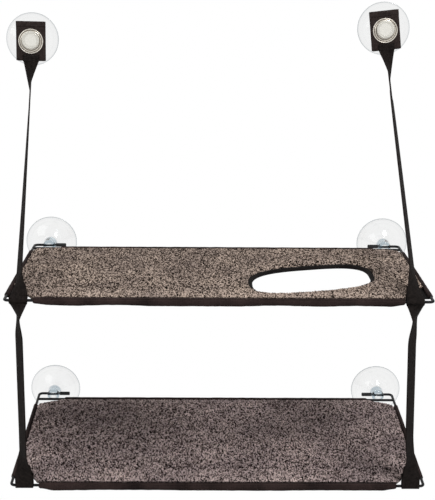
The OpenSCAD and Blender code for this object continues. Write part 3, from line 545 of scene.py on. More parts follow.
def plush_pad(tier, seed, material):
    """A pad as one mesh: a dense top with its pile as displaced tufts, and an edge that turns under to
    lie on the bottom cloth. The tufts' height is kept for the material, which paints their roots darker
    as painted shade."""
    points, quads, rim = pad_grid(tier)
    depth, slope, behind = pad_depth(points, tier), pad_slope(points, tier), from_rear(points)
    fade = ease(depth / FADE_RUN)
    warped = points + TUFT_WANDER * noise_shift(points, 16 * MM, seed + 3)
    tufts = 0.66 * tuft_height(warped, TUFT_CELL, seed + 5)
    tufts += 0.34 * tuft_height(warped + 1.3 * MM, 0.5 * TUFT_CELL, seed + 6)
    pile_height = PILE * (tufts - 0.45) * (0.45 + 0.55 * fade) * (0.5 + 0.5 * behind)
    sway = noise_shift(points, 7 * MM, seed + 7)
    # Curls at the border lean out over the sleeves and the hole's edge
    reach = PILE_OVERHANG * tufts * np.clip(1 - depth / OVERHANG_RUN, 0, 1) * (0.1 + 0.9 * behind)
    if tier == "upper":
        by_hole = hole_distance(points) < edge_distance(points)
        reach = reach * np.where(by_hole, near_side(points), 1)
    moved = points + PILE_SWAY * sway * (tufts * fade)[:, None] - slope * reach[:, None]
    # The rim's points again, lower down, for the side and the turned-under foot
    rim_ids = np.unique(rim)
    place = np.full(len(points), -1)
    place[rim_ids] = np.arange(len(rim_ids))
    rim_points, rim_slope = points[rim_ids], slope[rim_ids]
    layers = [np.column_stack([moved, pad_skin(points, tier, seed) + pile_height])]
    pile, faces, above = [tufts], [quads], rim
    for n, (inset, z, tone) in enumerate(FOOT_RINGS):
        ripple = FOOT_RIPPLE * (value_noise(rim_points, 6 * MM, seed + 20 + n) - 0.5)
        spots = rim_points + rim_slope * (inset + ripple)[:, None]
        layers.append(np.column_stack([spots, z + ripple]))
        # Painted shade: the pile's tone falls ring by ring as the foot turns under
        pile.append(tone * (0.6 + 0.8 * value_noise(rim_points, 3 * MM, seed + 30 + n)))
        below = len(points) + n * len(rim_ids) + place[rim]
        faces.append(np.column_stack([above[:, 1], above[:, 0], below[:, 0], below[:, 1]]))
        above = below
    co = np.concatenate(layers)
    obj = make_object(f"{tier}_plush_pad", place_tray(co, tier), np.concatenate(faces), material)
    # Painted light on the front roll, less a painted shade line at the crease behind it
    front = co[:, 1] + COVER_FRONT
    roll = ROLL_PAINTED_LIGHT[tier] * np.clip(1 - front / ROLL_RUN, 0, 1) ** 0.7
    roll -= ROLL_CREASE_SHADE * np.exp(-((front - ROLL_RUN) / ROLL_CREASE_SHADE_W) ** 2)
    # The attribute "pile" carries painted shade and light for the material: tuft height, the shaded
    # foot and the front roll
    point_values(obj, "pile", np.concatenate(pile) + roll)
    claim(obj, f"{tier}_tray", f"{tier}_plush", f"{tier}_plush_top", f"{tier}_foam_pad")


plush_pad("upper", 21, UPPER_PLUSH)
plush_pad("lower", 57, LOWER_PLUSH_PAINTED_LIGHTER)


# Cloth of the covers: bottom panels, sleeves on the rods and the binding of the hole

FRONT_SLEEVE_R = 4.5 * MM
SIDE_SLEEVE_R = 3.5 * MM
FRONT_SLEEVE_END = 251 * MM
REAR_SLEEVE_END = 246 * MM
SIDE_REAR = 44 * MM
SIDE_FRONT = 282.8 * MM
SAG_RUN = 22 * MM
SEAM_ROOT = 2 * MM
SEAM_TOP = -1.8 * MM
SEAM_LOW = -2.8 * MM
SEAM_STEP = 5 * MM
# Each rod's cloth runs from start to end, in tray coordinates, and faces inward to the pad
RODS = {
    "front": ((-FRONT_SLEEVE_END, -TRAY_DEPTH, 0), (FRONT_SLEEVE_END, -TRAY_DEPTH, 0), (0, 1, 0)),
    "rear": ((-REAR_SLEEVE_END, -CROSSBAR_BACK, 0), (REAR_SLEEVE_END, -CROSSBAR_BACK, 0), (0, -1, 0)),
    "left": ((-TRAY_HALF_W, -SIDE_REAR, 0), (-TRAY_HALF_W, -SIDE_FRONT, 0), (1, 0, 0)),
    "right": ((TRAY_HALF_W, -SIDE_REAR, 0), (TRAY_HALF_W, -SIDE_FRONT, 0), (-1, 0, 0)),
}


def rod_run(side):
    """A rod's start, its direction, its inward side and its length."""
    start, end, inward = np.array(RODS[side], float)
    length = np.linalg.norm(end - start)
    return start, (end - start) / length, inward, length


def cloth_sleeve(tier, side, radius, seed, sag=0.0):
    """A cloth tube on a rod, gathered a little along its length and hanging below the rod by
    its sag."""
    start, way, inward, length = rod_run(side)
    steps = max(24, int(length / (2.2 * MM)))
    around = 20
    along = np.repeat(np.linspace(0, length, steps + 1), around)
    turn = np.tile(2 * math.pi * np.arange(around) / around, steps + 1)
    spots = np.column_stack([along, radius * turn + seed])
    pucker = value_noise(spots, 9 * MM, seed) + 0.5 * value_noise(spots, 3.5 * MM, seed + 1) - 0.75
    slack = value_noise(np.column_stack([along, np.full(len(along), seed)]), 55 * MM, seed + 2)
    from_end = np.minimum(along, length - along)
    r = radius * (0.935 + 0.09 * pucker + 0.04 * slack)
    r = np.where(from_end < TINY, 0.72 * radius, r)
    hang = sag * (0.6 + 0.8 * slack) * ease(from_end / SAG_RUN)
    points = start + way * along[:, None] + inward * (r * np.cos(turn))[:, None]
    points[:, 2] += r * np.sin(turn) + np.minimum(np.sin(turn), 0) * hang
    faces = ring_faces(steps + 1, around)
    obj = make_object(f"{tier}_{side}_sleeve_cloth", place_tray(points, tier), faces, SLEEVE_CLOTH)
    claim(obj, f"{tier}_tray", "cover_fabric", f"{tier}_{side}_sleeve")


def seam_strip(tier, side, width, seed):
    """The strip of cloth that joins a sleeve to the cover."""
    start, way, inward, length = rod_run(side)
    steps = max(12, int(length / SEAM_STEP))
    spots = np.array([(k * SEAM_STEP, seed) for k in range(steps + 1)])
    wobble = 0.35 * MM * (value_noise(spots, 14 * MM, seed) - 0.5)
    points = []
    for k in range(steps + 1):
        base = start + way * length * k / steps
        far = width + wobble[k]
        for out, z in ((SEAM_ROOT, SEAM_TOP), (far, SEAM_TOP), (far, SEAM_LOW), (SEAM_ROOT, SEAM_LOW)):
            points.append(base + inward * out + (0, 0, z))
    obj = make_object(f"{tier}_{side}_seam", place_tray(points, tier), tube_faces(steps + 1, 4),
                      CLOTH, smooth=False)
    claim(obj, f"{tier}_tray", "cover_fabric")


def stitches(name, paths, size=(2.4 * MM, 0.45 * MM), pitch=3.4 * MM, up=(0, 0, 1)):
    """Rows of thread stitches along paths of points, each stitch a small rounded bar."""
    long, thick = size
    bar = ((-0.5, 0.5, -0.4), (-0.22, 1.0, 0.55), (0.22, 1.0, 0.55), (0.5, 0.5, -0.4))
    around = 6
    points, faces = [], []
    for path in paths:
        path = np.asarray(path, float)
        runs = np.linalg.norm(np.diff(path, axis=0), axis=1)
        reach = np.concatenate([[0], np.cumsum(runs)])
        for mark in np.arange(pitch / 2, runs.sum(), pitch):
            i = max(min(np.searchsorted(reach, mark) - 1, len(runs) - 1), 0)
            way = (path[i + 1] - path[i]) / runs[i]
            centre = path[i] + way * (mark - reach[i])
            side = unit(np.cross(up, way))
            normal = np.cross(way, side)
            faces += [tuple(len(points) + v for v in face) for face in tube_faces(len(bar), around)]
            for along, width, lift in bar:
                for c, s in circle(around) * width:
                    points.append(centre + way * along * long + side * thick / 2 * c
                                  + normal * thick / 2 * (s + lift))
    return make_object(name, points, faces, THREAD)


def panel_area(tier):
    """Flat area of a bottom panel: the cover's outline, less the oval hole in the upper one."""
    def area(outline):
        after = np.roll(outline, -1, axis=0)
        return abs(np.sum(outline[:, 0] * after[:, 1] - outline[:, 1] * after[:, 0])) / 2

    return area(CORNERS) - (area(hole_curve(0.0)) if tier == "upper" else 0.0)


def dress(obj, material):
    """Gives a mesh of the CAD's a material."""
    obj.data.materials.clear()
    obj.data.materials.append(material)


def bottom_cloth(tier):
    """The panel under a cover: the CAD's own solid, dressed as stretched cloth."""
    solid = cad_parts[f"{tier}_bottom_panel"]
    panel = new_object(f"{tier}_bottom_cloth", solid.data.copy())
    dress(panel, CLOTH)
    panel_area(tier)
    claim(panel, f"{tier}_tray", "cover_fabric", f"{tier}_bottom_panel")


for tier, seed, sag in (("upper", 100, 2.4 * MM), ("lower", 140, 3.2 * MM)):
    cloth_sleeve(tier, "front", FRONT_SLEEVE_R, seed, sag)
    cloth_sleeve(tier, "rear", SIDE_SLEEVE_R, seed + 4)
    for side, step in (("left", -1), ("right", 1)):
        cloth_sleeve(tier, side, SIDE_SLEEVE_R, seed + 8 + step)
        seam_strip(tier, side, 11 * MM, seed + 20 + step)
    seam_strip(tier, "front", 9.2 * MM, seed + 30)
    seam_strip(tier, "rear", 9 * MM, seed + 31)
    bottom_cloth(tier)


def hole_binding():
    """The folded cloth edge of the oval hole: a soft flange above, a wall and a flange below."""
    turns = 240
    # Rows of (margin, height) in millimetres, round the binding's section
    top, low = 2.4, -2.8
    profile = ((0.9, top), (0.25, top - 0.25), (0, top - 0.9), (0, low + 0.9),
               (0.25, low + 0.25), (0.9, low), (5.7, low), (6.0, low + 0.5),
               (5.7, low + 0.95), (1.05, low + 1.05), (1.05, top - 1.2), (5.6, top - 1.3),
               (6.1, top - 0.9), (5.8, top - 0.5), (4.6, top - 0.1), (2.6, top + 0.15))
    rings = []
    for margin, z in profile:
        ring = hole_curve(margin * MM, turns)
        wave = (0.5 if z > 0 else 0.1) * MM * (value_noise(ring, 13 * MM, 77) - 0.5)
        rings.append(np.column_stack([ring, z * MM + wave]))
    faces = turned(ring_faces(len(profile), turns, closed=True))
    obj = make_object("oval_hole_binding", place_tray(np.concatenate(rings), "upper"), faces, CLOTH)
    claim(obj, "upper_tray", "cover_fabric", "upper_hole_binding")
    path = hole_curve(4.7 * MM, 360)
    path = np.column_stack([path, np.full(len(path), (top + 0.05) * MM)])
    row = stitches("oval_hole_stitches", [place_tray(np.vstack([path, path[:1]]), "upper")])
    claim(row, "upper_tray", "cover_fabric")


hole_binding()


# Straps: one webbing ribbon each, along stations of [centre, width way, thickness way]

HANGER_LOOP_R = WIRE_R + SEAT_GAP + STRAP_T / 2
LAP_PITCH = STRAP_T + SEAT_GAP
TAB_BACK = 17.2 * MM
TAB_LAYER = 1.45 * MM
TAB_FRONT = TAB_BACK + 2 * TAB_LAYER
TAB_W = 45 * MM
TAB_H = 60 * MM
HEM_H = 8 * MM
GROMMET_R = 19 * MM
RING_DROP = 1.8 * MM
LEFT_CUP = (-287.5 * MM, 322 * MM)
RIGHT_CUP = (255 * MM, 342 * MM)
LEFT_LEAN = math.radians(-1)
RIGHT_LEAN = math.radians(6.5)
RAIL_Y = -HINGE_H - TRAY_DEPTH
LOWER_RAIL = np.array([0, -HINGE_H - TRAY_DEPTH * math.cos(LOWER_DROOP),
                       -TIER_GAP - TRAY_DEPTH * math.sin(LOWER_DROOP)])
FAN_START = WIRE_R + STRAP_T
HANGER_TURN = math.radians(66)
TAB_TURN_RUN = 41 * MM
BOW_DROP = 22 * MM
BOW_RUN = 60 * MM
TAIL = 20 * MM
TAIL_CLOSE = 12 * MM
LINK_LOOP_W = 7.4 * MM
LINK_LOOP_H = 19 * MM
LINK_START = 16 * MM
LINK_FAN = 30 * MM
LINK_PINCH_RUN = 20 * MM
LINK_OPEN_RUN = 30 * MM
LINK_BOW_RUN = 60 * MM
LINK_CLOSE = 9 * MM
LINK_TAIL = 14 * MM
# Stations of each stretch
FINER = 5
LAP_STEPS = 6 * FINER
TURN_STEPS = 14 * FINER
RUN_STEPS = 26 * FINER
LOOP_STEPS = 8 * FINER
LINK_RUN_STEPS = 20 * FINER
LINK_FAN_STEPS = 12 * FINER


def station(point, way, turn):
    """A station at a point, heading a way, with its width turned from level about the way."""
    x = np.array([1.0, 0, 0])
    across = unit(x - way[0] * way)
    front = np.cross(way, across)
    return [np.asarray(point, float), math.cos(turn) * across + math.sin(turn) * front,
            math.cos(turn) * front - math.sin(turn) * across]


def between(a, b, n, skip=0, end=1):
    """Numbers from a to b in n steps, less those skipped at the start, and with the end or not."""
    return [a + (b - a) * i / n for i in range(skip, n + end)]


def fan_turn(full, share):
    """Turn at a share of a fan, so that the strap narrows evenly when seen from the front."""
    return math.acos(1 - min(1.0, max(0.0, share)) * (1 - math.cos(full)))


def half_loop(centre, radius, first, second, wide):
    """Stations half way round a rail, from its first side by way of its second."""
    out = []
    for a in between(0, math.pi, LOOP_STEPS, 1, 0):
        away = math.cos(a) * first + math.sin(a) * second
        out.append([centre + radius * away, wide, away])
    return out


def strap(word, kind, seed, stations):
    """Webbing with rounded selvedges, a slight cup and ripple, and a map in metres, along its stations
    from start to end."""
    half_w, half_t = STRAP_W / 2, STRAP_T / 2
    edge = half_t * 0.9
    section = [((k / 5 - 1) * (half_w - edge), half_t) for k in range(11)]
    for a in (math.radians(45), 0, math.radians(-45)):
        section.append((half_w - edge + edge * math.cos(a), half_t * math.sin(a)))
    section += [(-u, -v) for u, v in section]
    across, out = np.array(section).T
    centres, wide, thick_way = (np.array(column) for column in zip(*stations))
    count, per = len(stations), len(section)
    along = np.concatenate([[0], np.cumsum(np.linalg.norm(np.diff(centres, axis=0), axis=1))])
    row = np.column_stack([along, np.full(count, seed)])
    narrow = 1 - 0.012 * value_noise(row, 13 * MM, seed + 2)
    # The selvedges sit a little proud of the woven middle and wander a little
    dip = 0.86 + 0.14 * (np.abs(across) / half_w) ** 6
    spots = np.column_stack([np.repeat(along, per), np.tile(3 * across + seed, count)])
    wander = 0.16 * MM * (value_noise(spots, 9 * MM, seed + 3).reshape(count, per) - 0.5)
    reach = across * narrow[:, None] + wander * (np.abs(across) > half_w - edge * 1.2)
    points = (centres[:, None] + wide[:, None] * reach[:, :, None]
              + thick_way[:, None] * (out * dip)[:, None])
    obj = make_object(f"{word}_{kind}_webbing", points.reshape(-1, 3), turned(tube_faces(count, per)),
                      WEBBING)
    strap_map(obj, np.column_stack([np.tile(across, count), np.repeat(along, per)]))
    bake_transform(obj)
    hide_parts(f"{word}_{kind}_strap")


def hanger_stations(cup, lean, rail_x, fan_len, pinch, opening, sign):
    """The hanger's route, lapped on the tab, down to the rail, round it and up behind itself,
    and the lap's top, foot and way down, and the rail's front and the way up from it."""
    pinch = math.radians(pinch)
    down = np.array([math.sin(lean), 0, -math.cos(lean)])
    ring = np.array([cup[0], -TAB_FRONT - SEAT_GAP - STRAP_T / 2, cup[1] - RING_DROP])
    lap_top = ring + (GROMMET_R + 1.2 * MM) * down
    foot = ring + TAB_H / 2 * down
    bow = foot + BOW_DROP * down
    rail = np.array([rail_x, RAIL_Y, 0.0])
    up = unit(bow - rail)
    flat_up = unit([0, up[1], up[2]])
    front = np.array([0, -flat_up[2], flat_up[1]])
    meet = rail + HANGER_LOOP_R * front
    way = unit(bow - meet)
    bow_end = bow - BOW_RUN * way
    run = np.linalg.norm(bow_end - meet)
    fan_top = FAN_START + fan_len

    def turn_at(above, below):
        """Edge on below the tab, opening evenly down to the fan at the rail."""
        spare = below - fan_top
        if spare <= 0:
            return sign * fan_turn(HANGER_TURN, 1 + spare / fan_len)
        opened = max(0.0, 1 - spare / (run - fan_top)) ** opening
        return sign * min(fan_turn(pinch, above / TAB_TURN_RUN), pinch + (HANGER_TURN - pinch) * opened)

    def on_run(height):
        return station(meet + height * way, -way, turn_at(TAB_TURN_RUN, height))

    out = [station(lap_top + (foot - lap_top) * k, down, 0) for k in between(0, 1, LAP_STEPS, end=0)]
    for k in between(0, 1, TURN_STEPS, end=0):
        first, second = foot + (bow - foot) * k, bow + (bow_end - bow) * k
        point = first + (second - first) * k
        out.append(station(point, unit(second - first), turn_at(np.linalg.norm(point - foot), run)))
    out += [on_run(height) for height in between(run, fan_top, RUN_STEPS, end=0)]
    out += [on_run(height) for height in between(fan_top, FAN_START, TURN_STEPS)]
    out.append(station(meet, -way, 0))
    out += half_loop(rail, HANGER_LOOP_R, front, -flat_up, np.array([1.0, 0, 0]))
    for height in between(0, TAIL, LOOP_STEPS):
        back = 2 * HANGER_LOOP_R + (LAP_PITCH - 2 * HANGER_LOOP_R) * ease(height / TAIL_CLOSE)
        centre, wide, thick_way = on_run(height)
        out.append([centre - back * thick_way, wide, -thick_way])
    return out, (lap_top, foot, down, meet, way)


def link_stations(top_x, foot_x, pinch, turn, bow, sign):
    """The link's route, from the upper rail down to the lower one, round it in a long loop
    and up behind itself, and its marks: the upper rail's middle and the way down."""
    turn, pinch = math.radians(turn), math.radians(pinch)
    top = np.array([top_x, RAIL_Y, 0.0])
    low = LOWER_RAIL + (foot_x, 0, 0)
    down = unit(low - top)
    flat_down = unit([0, down[1], down[2]])
    top_up = np.linalg.norm(low - top) - HANGER_LOOP_R - STRAP_T / 2 - SEAT_GAP
    fan_up = LINK_START + LINK_FAN
    side_r = (LINK_LOOP_W + STRAP_T) / 2
    foot_up = LINK_LOOP_W / 2 - WIRE_R - SEAT_GAP
    open_up = LINK_LOOP_H - 2 * WIRE_R - SEAT_GAP

    def turn_at(above):
        under = top_up - above
        if above < fan_up:
            return sign * fan_turn(turn, (above - LINK_START) / LINK_FAN)
        opened = ease((under - LINK_PINCH_RUN) / LINK_OPEN_RUN)
        return sign * min(fan_turn(pinch, under / LINK_PINCH_RUN), pinch + (turn - pinch) * opened)

    def place(above):
        share = ease((above - LINK_START) / LINK_BOW_RUN) * ease((top_up - above) / LINK_BOW_RUN)
        return station(low - above * down - (bow * share, 0, 0), flat_down, turn_at(above))

    def layer(above, side):
        """A station of the front (1) or back (-1) layer, spread apart at the loop."""
        gap = side_r + (LAP_PITCH / 2 - side_r) * ease((above - open_up) / LINK_CLOSE)
        centre, wide, thick_way = place(above)
        return [centre + side * gap * thick_way, wide, side * thick_way]

    pinched, opened = top_up - LINK_PINCH_RUN, top_up - LINK_PINCH_RUN - LINK_OPEN_RUN
    heights = [top_up + 0.5 * MM] + between(top_up, pinched, LINK_FAN_STEPS)
    heights += between(pinched, opened, LAP_STEPS, 1) + between(opened, fan_up, LINK_RUN_STEPS, 1, 0)
    heights += between(fan_up, LINK_START, LINK_FAN_STEPS)
    heights += between(LINK_START, foot_up, LOOP_STEPS, 1)
    out = [layer(above, 1) for above in heights]
    centre, wide, thick_way = place(foot_up)
    out += half_loop(centre, side_r, thick_way, flat_down, wide)
    heights = between(foot_up, LINK_START, LOOP_STEPS)
    heights += between(LINK_START, LINK_LOOP_H + LINK_TAIL, LOOP_STEPS, 1)
    return out + [layer(above, -1) for above in heights], (top, down)


def strap_pair(word, cup, lean, x_top, x_low, fan_len, pinches, opening, link_turn, bow, sign):
    """A hanger from its tab to the upper rail, its sewn box, and the link below it."""
    stations, marks = hanger_stations(cup, lean, x_top, fan_len, pinches[0], opening, sign)
    lap_top, foot, down, meet, way = marks
    strap(word, "hanger", 200 + 10 * sign, stations)
    # The lap is sewn to the tab in a box of four rows
    middle = (lap_top + foot) / 2 + (0, -STRAP_T / 2 - 0.02 * MM, 0)
    across, tall = np.cross(down, (0, 1, 0)) * 19 * MM / 2, down * 7 * MM / 2
    box = [middle + u * across + v * tall for u, v in ((-1, -1), (1, -1), (1, 1), (-1, 1), (-1, -1))]
    sewn = stitches(f"{word}_tab_stitching", zip(box[:-1], box[1:]), size=(1.9 * MM, 0.42 * MM),
                    pitch=2.6 * MM, up=(0, -1, 0))
    claim(sewn, "window_mounts", "webbing")
    stations, (top, down) = link_stations(x_top, x_low, pinches[1], link_turn, bow, sign)
    strap(word, "link", 240 + 10 * sign, stations)


strap_pair("left", LEFT_CUP, LEFT_LEAN, x_top=-271 * MM, x_low=-271 * MM, fan_len=32 * MM,
           pinches=(80, 75), opening=1.0, link_turn=60, bow=-0.5 * MM, sign=1)
strap_pair("right", RIGHT_CUP, RIGHT_LEAN, x_top=265 * MM, x_low=271 * MM, fan_len=46 * MM,
           pinches=(76, 68), opening=0.3, link_turn=56, bow=4 * MM, sign=-1)


# Tabs with a turned hem and stitches, and their grommets

TAB_HOLE_R = 12 * MM
TAB_EDGE = 0.5 * MM
TAB_GROOVE = 0.15 * MM
AROUND = 96
HEM_STEPS = 26


def tab_points(cup, lean, flat, height):
    """Points at (x, y) on a tab, at a height above the window, or at a height for each."""
    x, y = np.transpose(flat)
    c, s = math.cos(lean), math.sin(lean)
    return np.column_stack([cup[0] + x * c - y * s, np.broadcast_to(-np.asarray(height), x.shape),
                            cup[1] - RING_DROP + x * s + y * c])


def tab_outline(inset):
    """The tab's rectangle, less an inset, with a point for each turn about the hole."""
    reach = (TAB_W / 2 - inset, TAB_H / 2 - inset) / np.maximum(np.abs(circle(AROUND)), TINY)
    return circle(AROUND) * reach.min(axis=1)[:, None]


def tab_piece(word, cup, lean):
    """A tab of two layers with a hole, and the hem turned over its front."""
    hole = TAB_HOLE_R * circle(AROUND)
    edge, inner = tab_outline(0), tab_outline(1.1 * MM)
    near, far = (hole + (inner - hole) * share for share in (0.33, 0.66))
    middle = TAB_BACK + TAB_LAYER
    stack = ((hole, TAB_FRONT), (near, TAB_FRONT), (far, TAB_FRONT), (inner, TAB_FRONT),
             (edge, TAB_FRONT - TAB_EDGE), (edge * 0.999, middle + TAB_GROOVE),
             (edge * 0.992, middle), (edge * 0.999, middle - TAB_GROOVE),
             (edge, TAB_BACK + TAB_EDGE), (inner, TAB_BACK), (far, TAB_BACK), (near, TAB_BACK),
             (hole, TAB_BACK))
    points = np.concatenate([tab_points(cup, lean, flat, height) for flat, height in stack])
    faces = turned(ring_faces(len(stack), AROUND, closed=True))
    tab = make_object(f"{word}_webbing_tab", points, faces, TAB_WEBBING)
    strap_map(tab, np.concatenate([flat for flat, _ in stack]))
    claim(tab, "window_mounts", "webbing", f"{word}_tab")
    # The hem's section of (y, height), from its lower edge to its fold
    low, top = TAB_H / 2 - HEM_H, TAB_H / 2
    section = ((low, 0), (low, 0.5 * MM), (low + 0.4 * MM, 0.75 * MM), (low + 1.0 * MM, 0.8 * MM),
               (top - 1.2 * MM, 0.8 * MM), (top - 0.4 * MM, 0.55 * MM), (top, 0.1 * MM), (top, 0))
    xs = -TAB_W / 2 + TAB_W * np.arange(HEM_STEPS + 1) / HEM_STEPS
    row = np.column_stack([xs, np.full(len(xs), 3.0 * len(word))])
    wave = 0.12 * MM * (value_noise(row, 9 * MM, 305) - 0.5)
    places = np.array([(x, y) for x in xs for y, _ in section])
    shift = np.column_stack([np.zeros(len(places)), np.repeat(wave, len(section))])
    heights = np.tile([TAB_FRONT + height for _, height in section], len(xs))
    hem = make_object(f"{word}_tab_hem", tab_points(cup, lean, places + shift, heights),
                      turned(tube_faces(len(xs), len(section))), TAB_WEBBING)
    strap_map(hem, places)
    claim(hem, "window_mounts", "webbing")
    x, y = TAB_W / 2 - 2.5 * MM, low + 1.6 * MM
    path = tab_points(cup, lean, ((-x, y), (x, y)), TAB_FRONT + 0.8 * MM)
    claim(stitches(f"{word}_hem_stitches", [path], up=(0, -1, 0)), "window_mounts", "webbing")


# The grommet's rows of (radius, height over its seat, painted groove shade), in millimetres
BARREL_FOOT = -(2 * TAB_LAYER + 2 * SEAT_GAP) / MM - 0.6
GROMMET = (
    (11.0, BARREL_FOOT, 0), (11.0, 0.2, 0.2), (11.3, 0.8, 0), (12.0, 0.95, 0), (12.8, 0.6, 0.2),
    (13.8, 0.55, 0.9), (14.3, 0.7, 0.4), (14.8, 1.15, 0), (15.3, 1.3, 0), (15.8, 1.1, 0),
    (16.3, 0.6, 0.9), (16.8, 0.55, 1.0), (17.2, 0.9, 0.3), (17.7, 1.45, 0), (18.2, 1.55, 0),
    (18.7, 1.3, 0), (19.0, 0.75, 0.2), (18.8, 0.1, 0.5), (18.2, 0, 0.5), (12.0, 0, 0),
    (11.9, BARREL_FOOT, 0),
)


def grommet(word, cup, lean):
    """A pressed grommet: an outer rolled rim, a groove painted dark as shade, a second rim and a flat
    seat that runs into the barrel. The grooves' painted shade is kept for the material."""
    points = np.concatenate([
        tab_points(cup, lean, r * MM * circle(AROUND), TAB_FRONT + SEAT_GAP + height * MM)
        for r, height, _ in GROMMET])
    faces = ring_faces(len(GROMMET), AROUND, closed=True)
    obj = make_object(f"{word}_grommet_metal", points, faces, METAL)
    # Painted shade in the grooves and under the rim
    point_values(obj, "groove", np.repeat([mark for _, _, mark in GROMMET], AROUND))
    claim(obj, "window_mounts", "grommet_metal", f"{word}_grommet")


for word, cup, lean in (("left", LEFT_CUP, LEFT_LEAN), ("right", RIGHT_CUP, RIGHT_LEAN)):
    tab_piece(word, cup, lean)
    grommet(word, cup, lean)


# Suction cups, turned on a lathe: a flat seal, a hollow, a beaded rim, a flared dome and
# either a button head or a round knob with the stub's cross bore

REAR_CUP_X = 266.5 * MM
BORE_R = 2.1 * MM
BORE_HALF = 16 * MM
BORE_AROUND = 40
# The lathe's profile is in millimetres
CUP_R = 40.5
HUB_R = 12
HUB_H = 13.5
LIP_T = 1.8
LIP_IN = 1.6
CAVITY_H = 3.4
SEAL_R = CUP_R - 3
RIDGE_R = 33
BUTTON_H = 22
FULL_RIM_SHADE = 1.3


def round_over(r, h, radius, mark):
    """A quarter round about (r, h), from its outer side up to its top."""
    angles = [math.radians(18 * k) for k in range(6)]
    return [(r + radius * math.cos(a), h + radius * math.sin(a), mark) for a in angles]


def cup_rows(top):
    """Profile rows of (radius, height, rim shade) from the hollow's centre round to the crown. The rim
    shade is painted shade at rims and edges, and a painted bluish reflection on the rear knobs.
    """
    rows = [(0, CAVITY_H, 0.1)]
    for k in range(1, 13):
        share = k / 12
        rows.append((SEAL_R * share, CAVITY_H * (1 - share ** 2), 0.3 if k == 12 else 0.05))
    rows += [(SEAL_R + 0.5, 0, 0.35), (CUP_R - 0.5, 0, 0.7), (CUP_R - 0.1, 0.25, 1.0),
             (CUP_R, 0.9, 1.0), (CUP_R - 0.25, 1.55, 1.0), (CUP_R - 0.8, LIP_T, 0.7),
             (CUP_R - LIP_IN, LIP_T, 0.25)]
    for k in range(1, 25):
        share = k / 24
        r = CUP_R - LIP_IN + (HUB_R - CUP_R + LIP_IN) * share
        h = HUB_H + (LIP_T - HUB_H) * (1 - share ** 2)
        # Painted shade: a darker band about the moulded ridge (glow) and near the hub
        ridge, glow = (math.exp(-((r - RIDGE_R) / width) ** 2) for width in (0.8, 1.2))
        rows.append((r, h + 0.22 * ridge, 0.3 * glow + (0.12 if k > 20 else 0)))
    if top:
        neck, head, base, crown, soft = 9, 13.5, 22.2, 26.4, 1.6
        rows += [(neck + 1.4, HUB_H + 0.15, 0.3), (neck + 0.4, HUB_H + 0.6, 0.3),
                 (neck, HUB_H + 1.5, 0.2), (neck, base - 0.6, 0.2), (neck + 0.6, base, 0.3),
                 (head - 0.6, base, 0.5), (head, base + 0.6, 0.85)]
        rows += round_over(head - soft, crown - soft, soft, 0.7)
        rows += [(head - 3.4, crown - 0.25, 0.35), (6, crown - 0.4, 0.1),
                 (2.5, crown - 0.4, 0.05), (0, crown - 0.4, 0.05)]
    else:
        knob, crown, soft = 9.75, 35, 3
        # The knob takes the full rim value: a painted bluish reflection
        rows += [(knob + 0.9, HUB_H + 0.2, 0.6), (knob + 0.2, HUB_H + 0.7, 0.9),
                 (knob, HUB_H + 1.6, FULL_RIM_SHADE), (knob, 20, FULL_RIM_SHADE), (knob, 30, FULL_RIM_SHADE)]
        rows += round_over(knob - soft, crown - soft, soft, FULL_RIM_SHADE)
        rows += [(4, crown, 0.7), (1.8, crown, 0.3), (0, crown, 0.3)]
    return rows


def cut_bore(obj, x, z):
    """Cuts the cross bore that the tray's stub turns in."""
    points = [(end, -HINGE_H + BORE_R * c, z + BORE_R * s)
              for end in (x - BORE_HALF, x + BORE_HALF) for c, s in circle(BORE_AROUND)]
    cutter = make_object("bore_cutter", points, tube_faces(2, BORE_AROUND), VINYL, smooth=False)
    bore = obj.modifiers.new("bore", "BOOLEAN")
    bore.operation = "DIFFERENCE"
    bore.solver = "EXACT"
    bore.object = cutter
    bpy.context.view_layer.update()
    graph = bpy.context.evaluated_depsgraph_get()
    mesh = bpy.data.meshes.new_from_object(obj.evaluated_get(graph))
    obj.modifiers.clear()
    obj.data = mesh
    bpy.data.objects.remove(cutter)


def suction_cup(node, x, z, top):
    """One cup, with the painted shade of its rims and knob and its milky button kept for the material.
    """
    rows = cup_rows(top)
    turns = 128
    points, rim, milk = [], [], []
    for r, h, mark in rows:
        ring = r * MM * circle(turns if r else 1)
        points += [(x + dx, -h * MM, z + dz) for dx, dz in ring]
        rim += [mark / FULL_RIM_SHADE] * len(ring)
        milk += [float(top and h > BUTTON_H)] * len(ring)
    inner = len(rows) - 2
    last, tip = 1 + (inner - 1) * turns, len(points) - 1
    faces = [tuple(1 + v for v in face) for face in ring_faces(inner, turns)]
    faces += [(0, 1 + (k + 1) % turns, 1 + k) for k in range(turns)]
    faces += [(tip, last + k, last + (k + 1) % turns) for k in range(turns)]
    obj = make_object(f"{node}_vinyl", points, faces, VINYL)
    point_values(obj, "rim", rim)
    point_values(obj, "milk", milk)
    if not top:
        cut_bore(obj, x, z)
    claim(obj, "window_mounts", "clear_vinyl", node)


suction_cup("top_cup_left", *LEFT_CUP, True)
suction_cup("top_cup_right", *RIGHT_CUP, True)
for tier, level_z in (("upper", 0.0), ("lower", -TIER_GAP)):
    suction_cup(f"{tier}_rear_cup_left", -REAR_CUP_X, level_z, False)
    suction_cup(f"{tier}_rear_cup_right", REAR_CUP_X, level_z, False)


# CAD nodes that stay: wires, end caps and the grommets' washers

for node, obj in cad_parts.items():
    if node.endswith(("wire_frame", "crossbar")):
        dress(obj, WIRE)
    elif "end_cap" in node:
        dress(obj, RUBBER)
    elif node.endswith("washer"):
        dress(obj, METAL)


# Floor, backdrop, lights and camera

# The backdrop stands behind the places that rear cameras use, and the floor below those
# that look up at the trays
FLOOR_Z = -2.6
BACKDROP_Y = 3.6
BACKDROP_TOP = 4
STAGE_FRONT_Y = -5
STAGE_HALF_W = 5


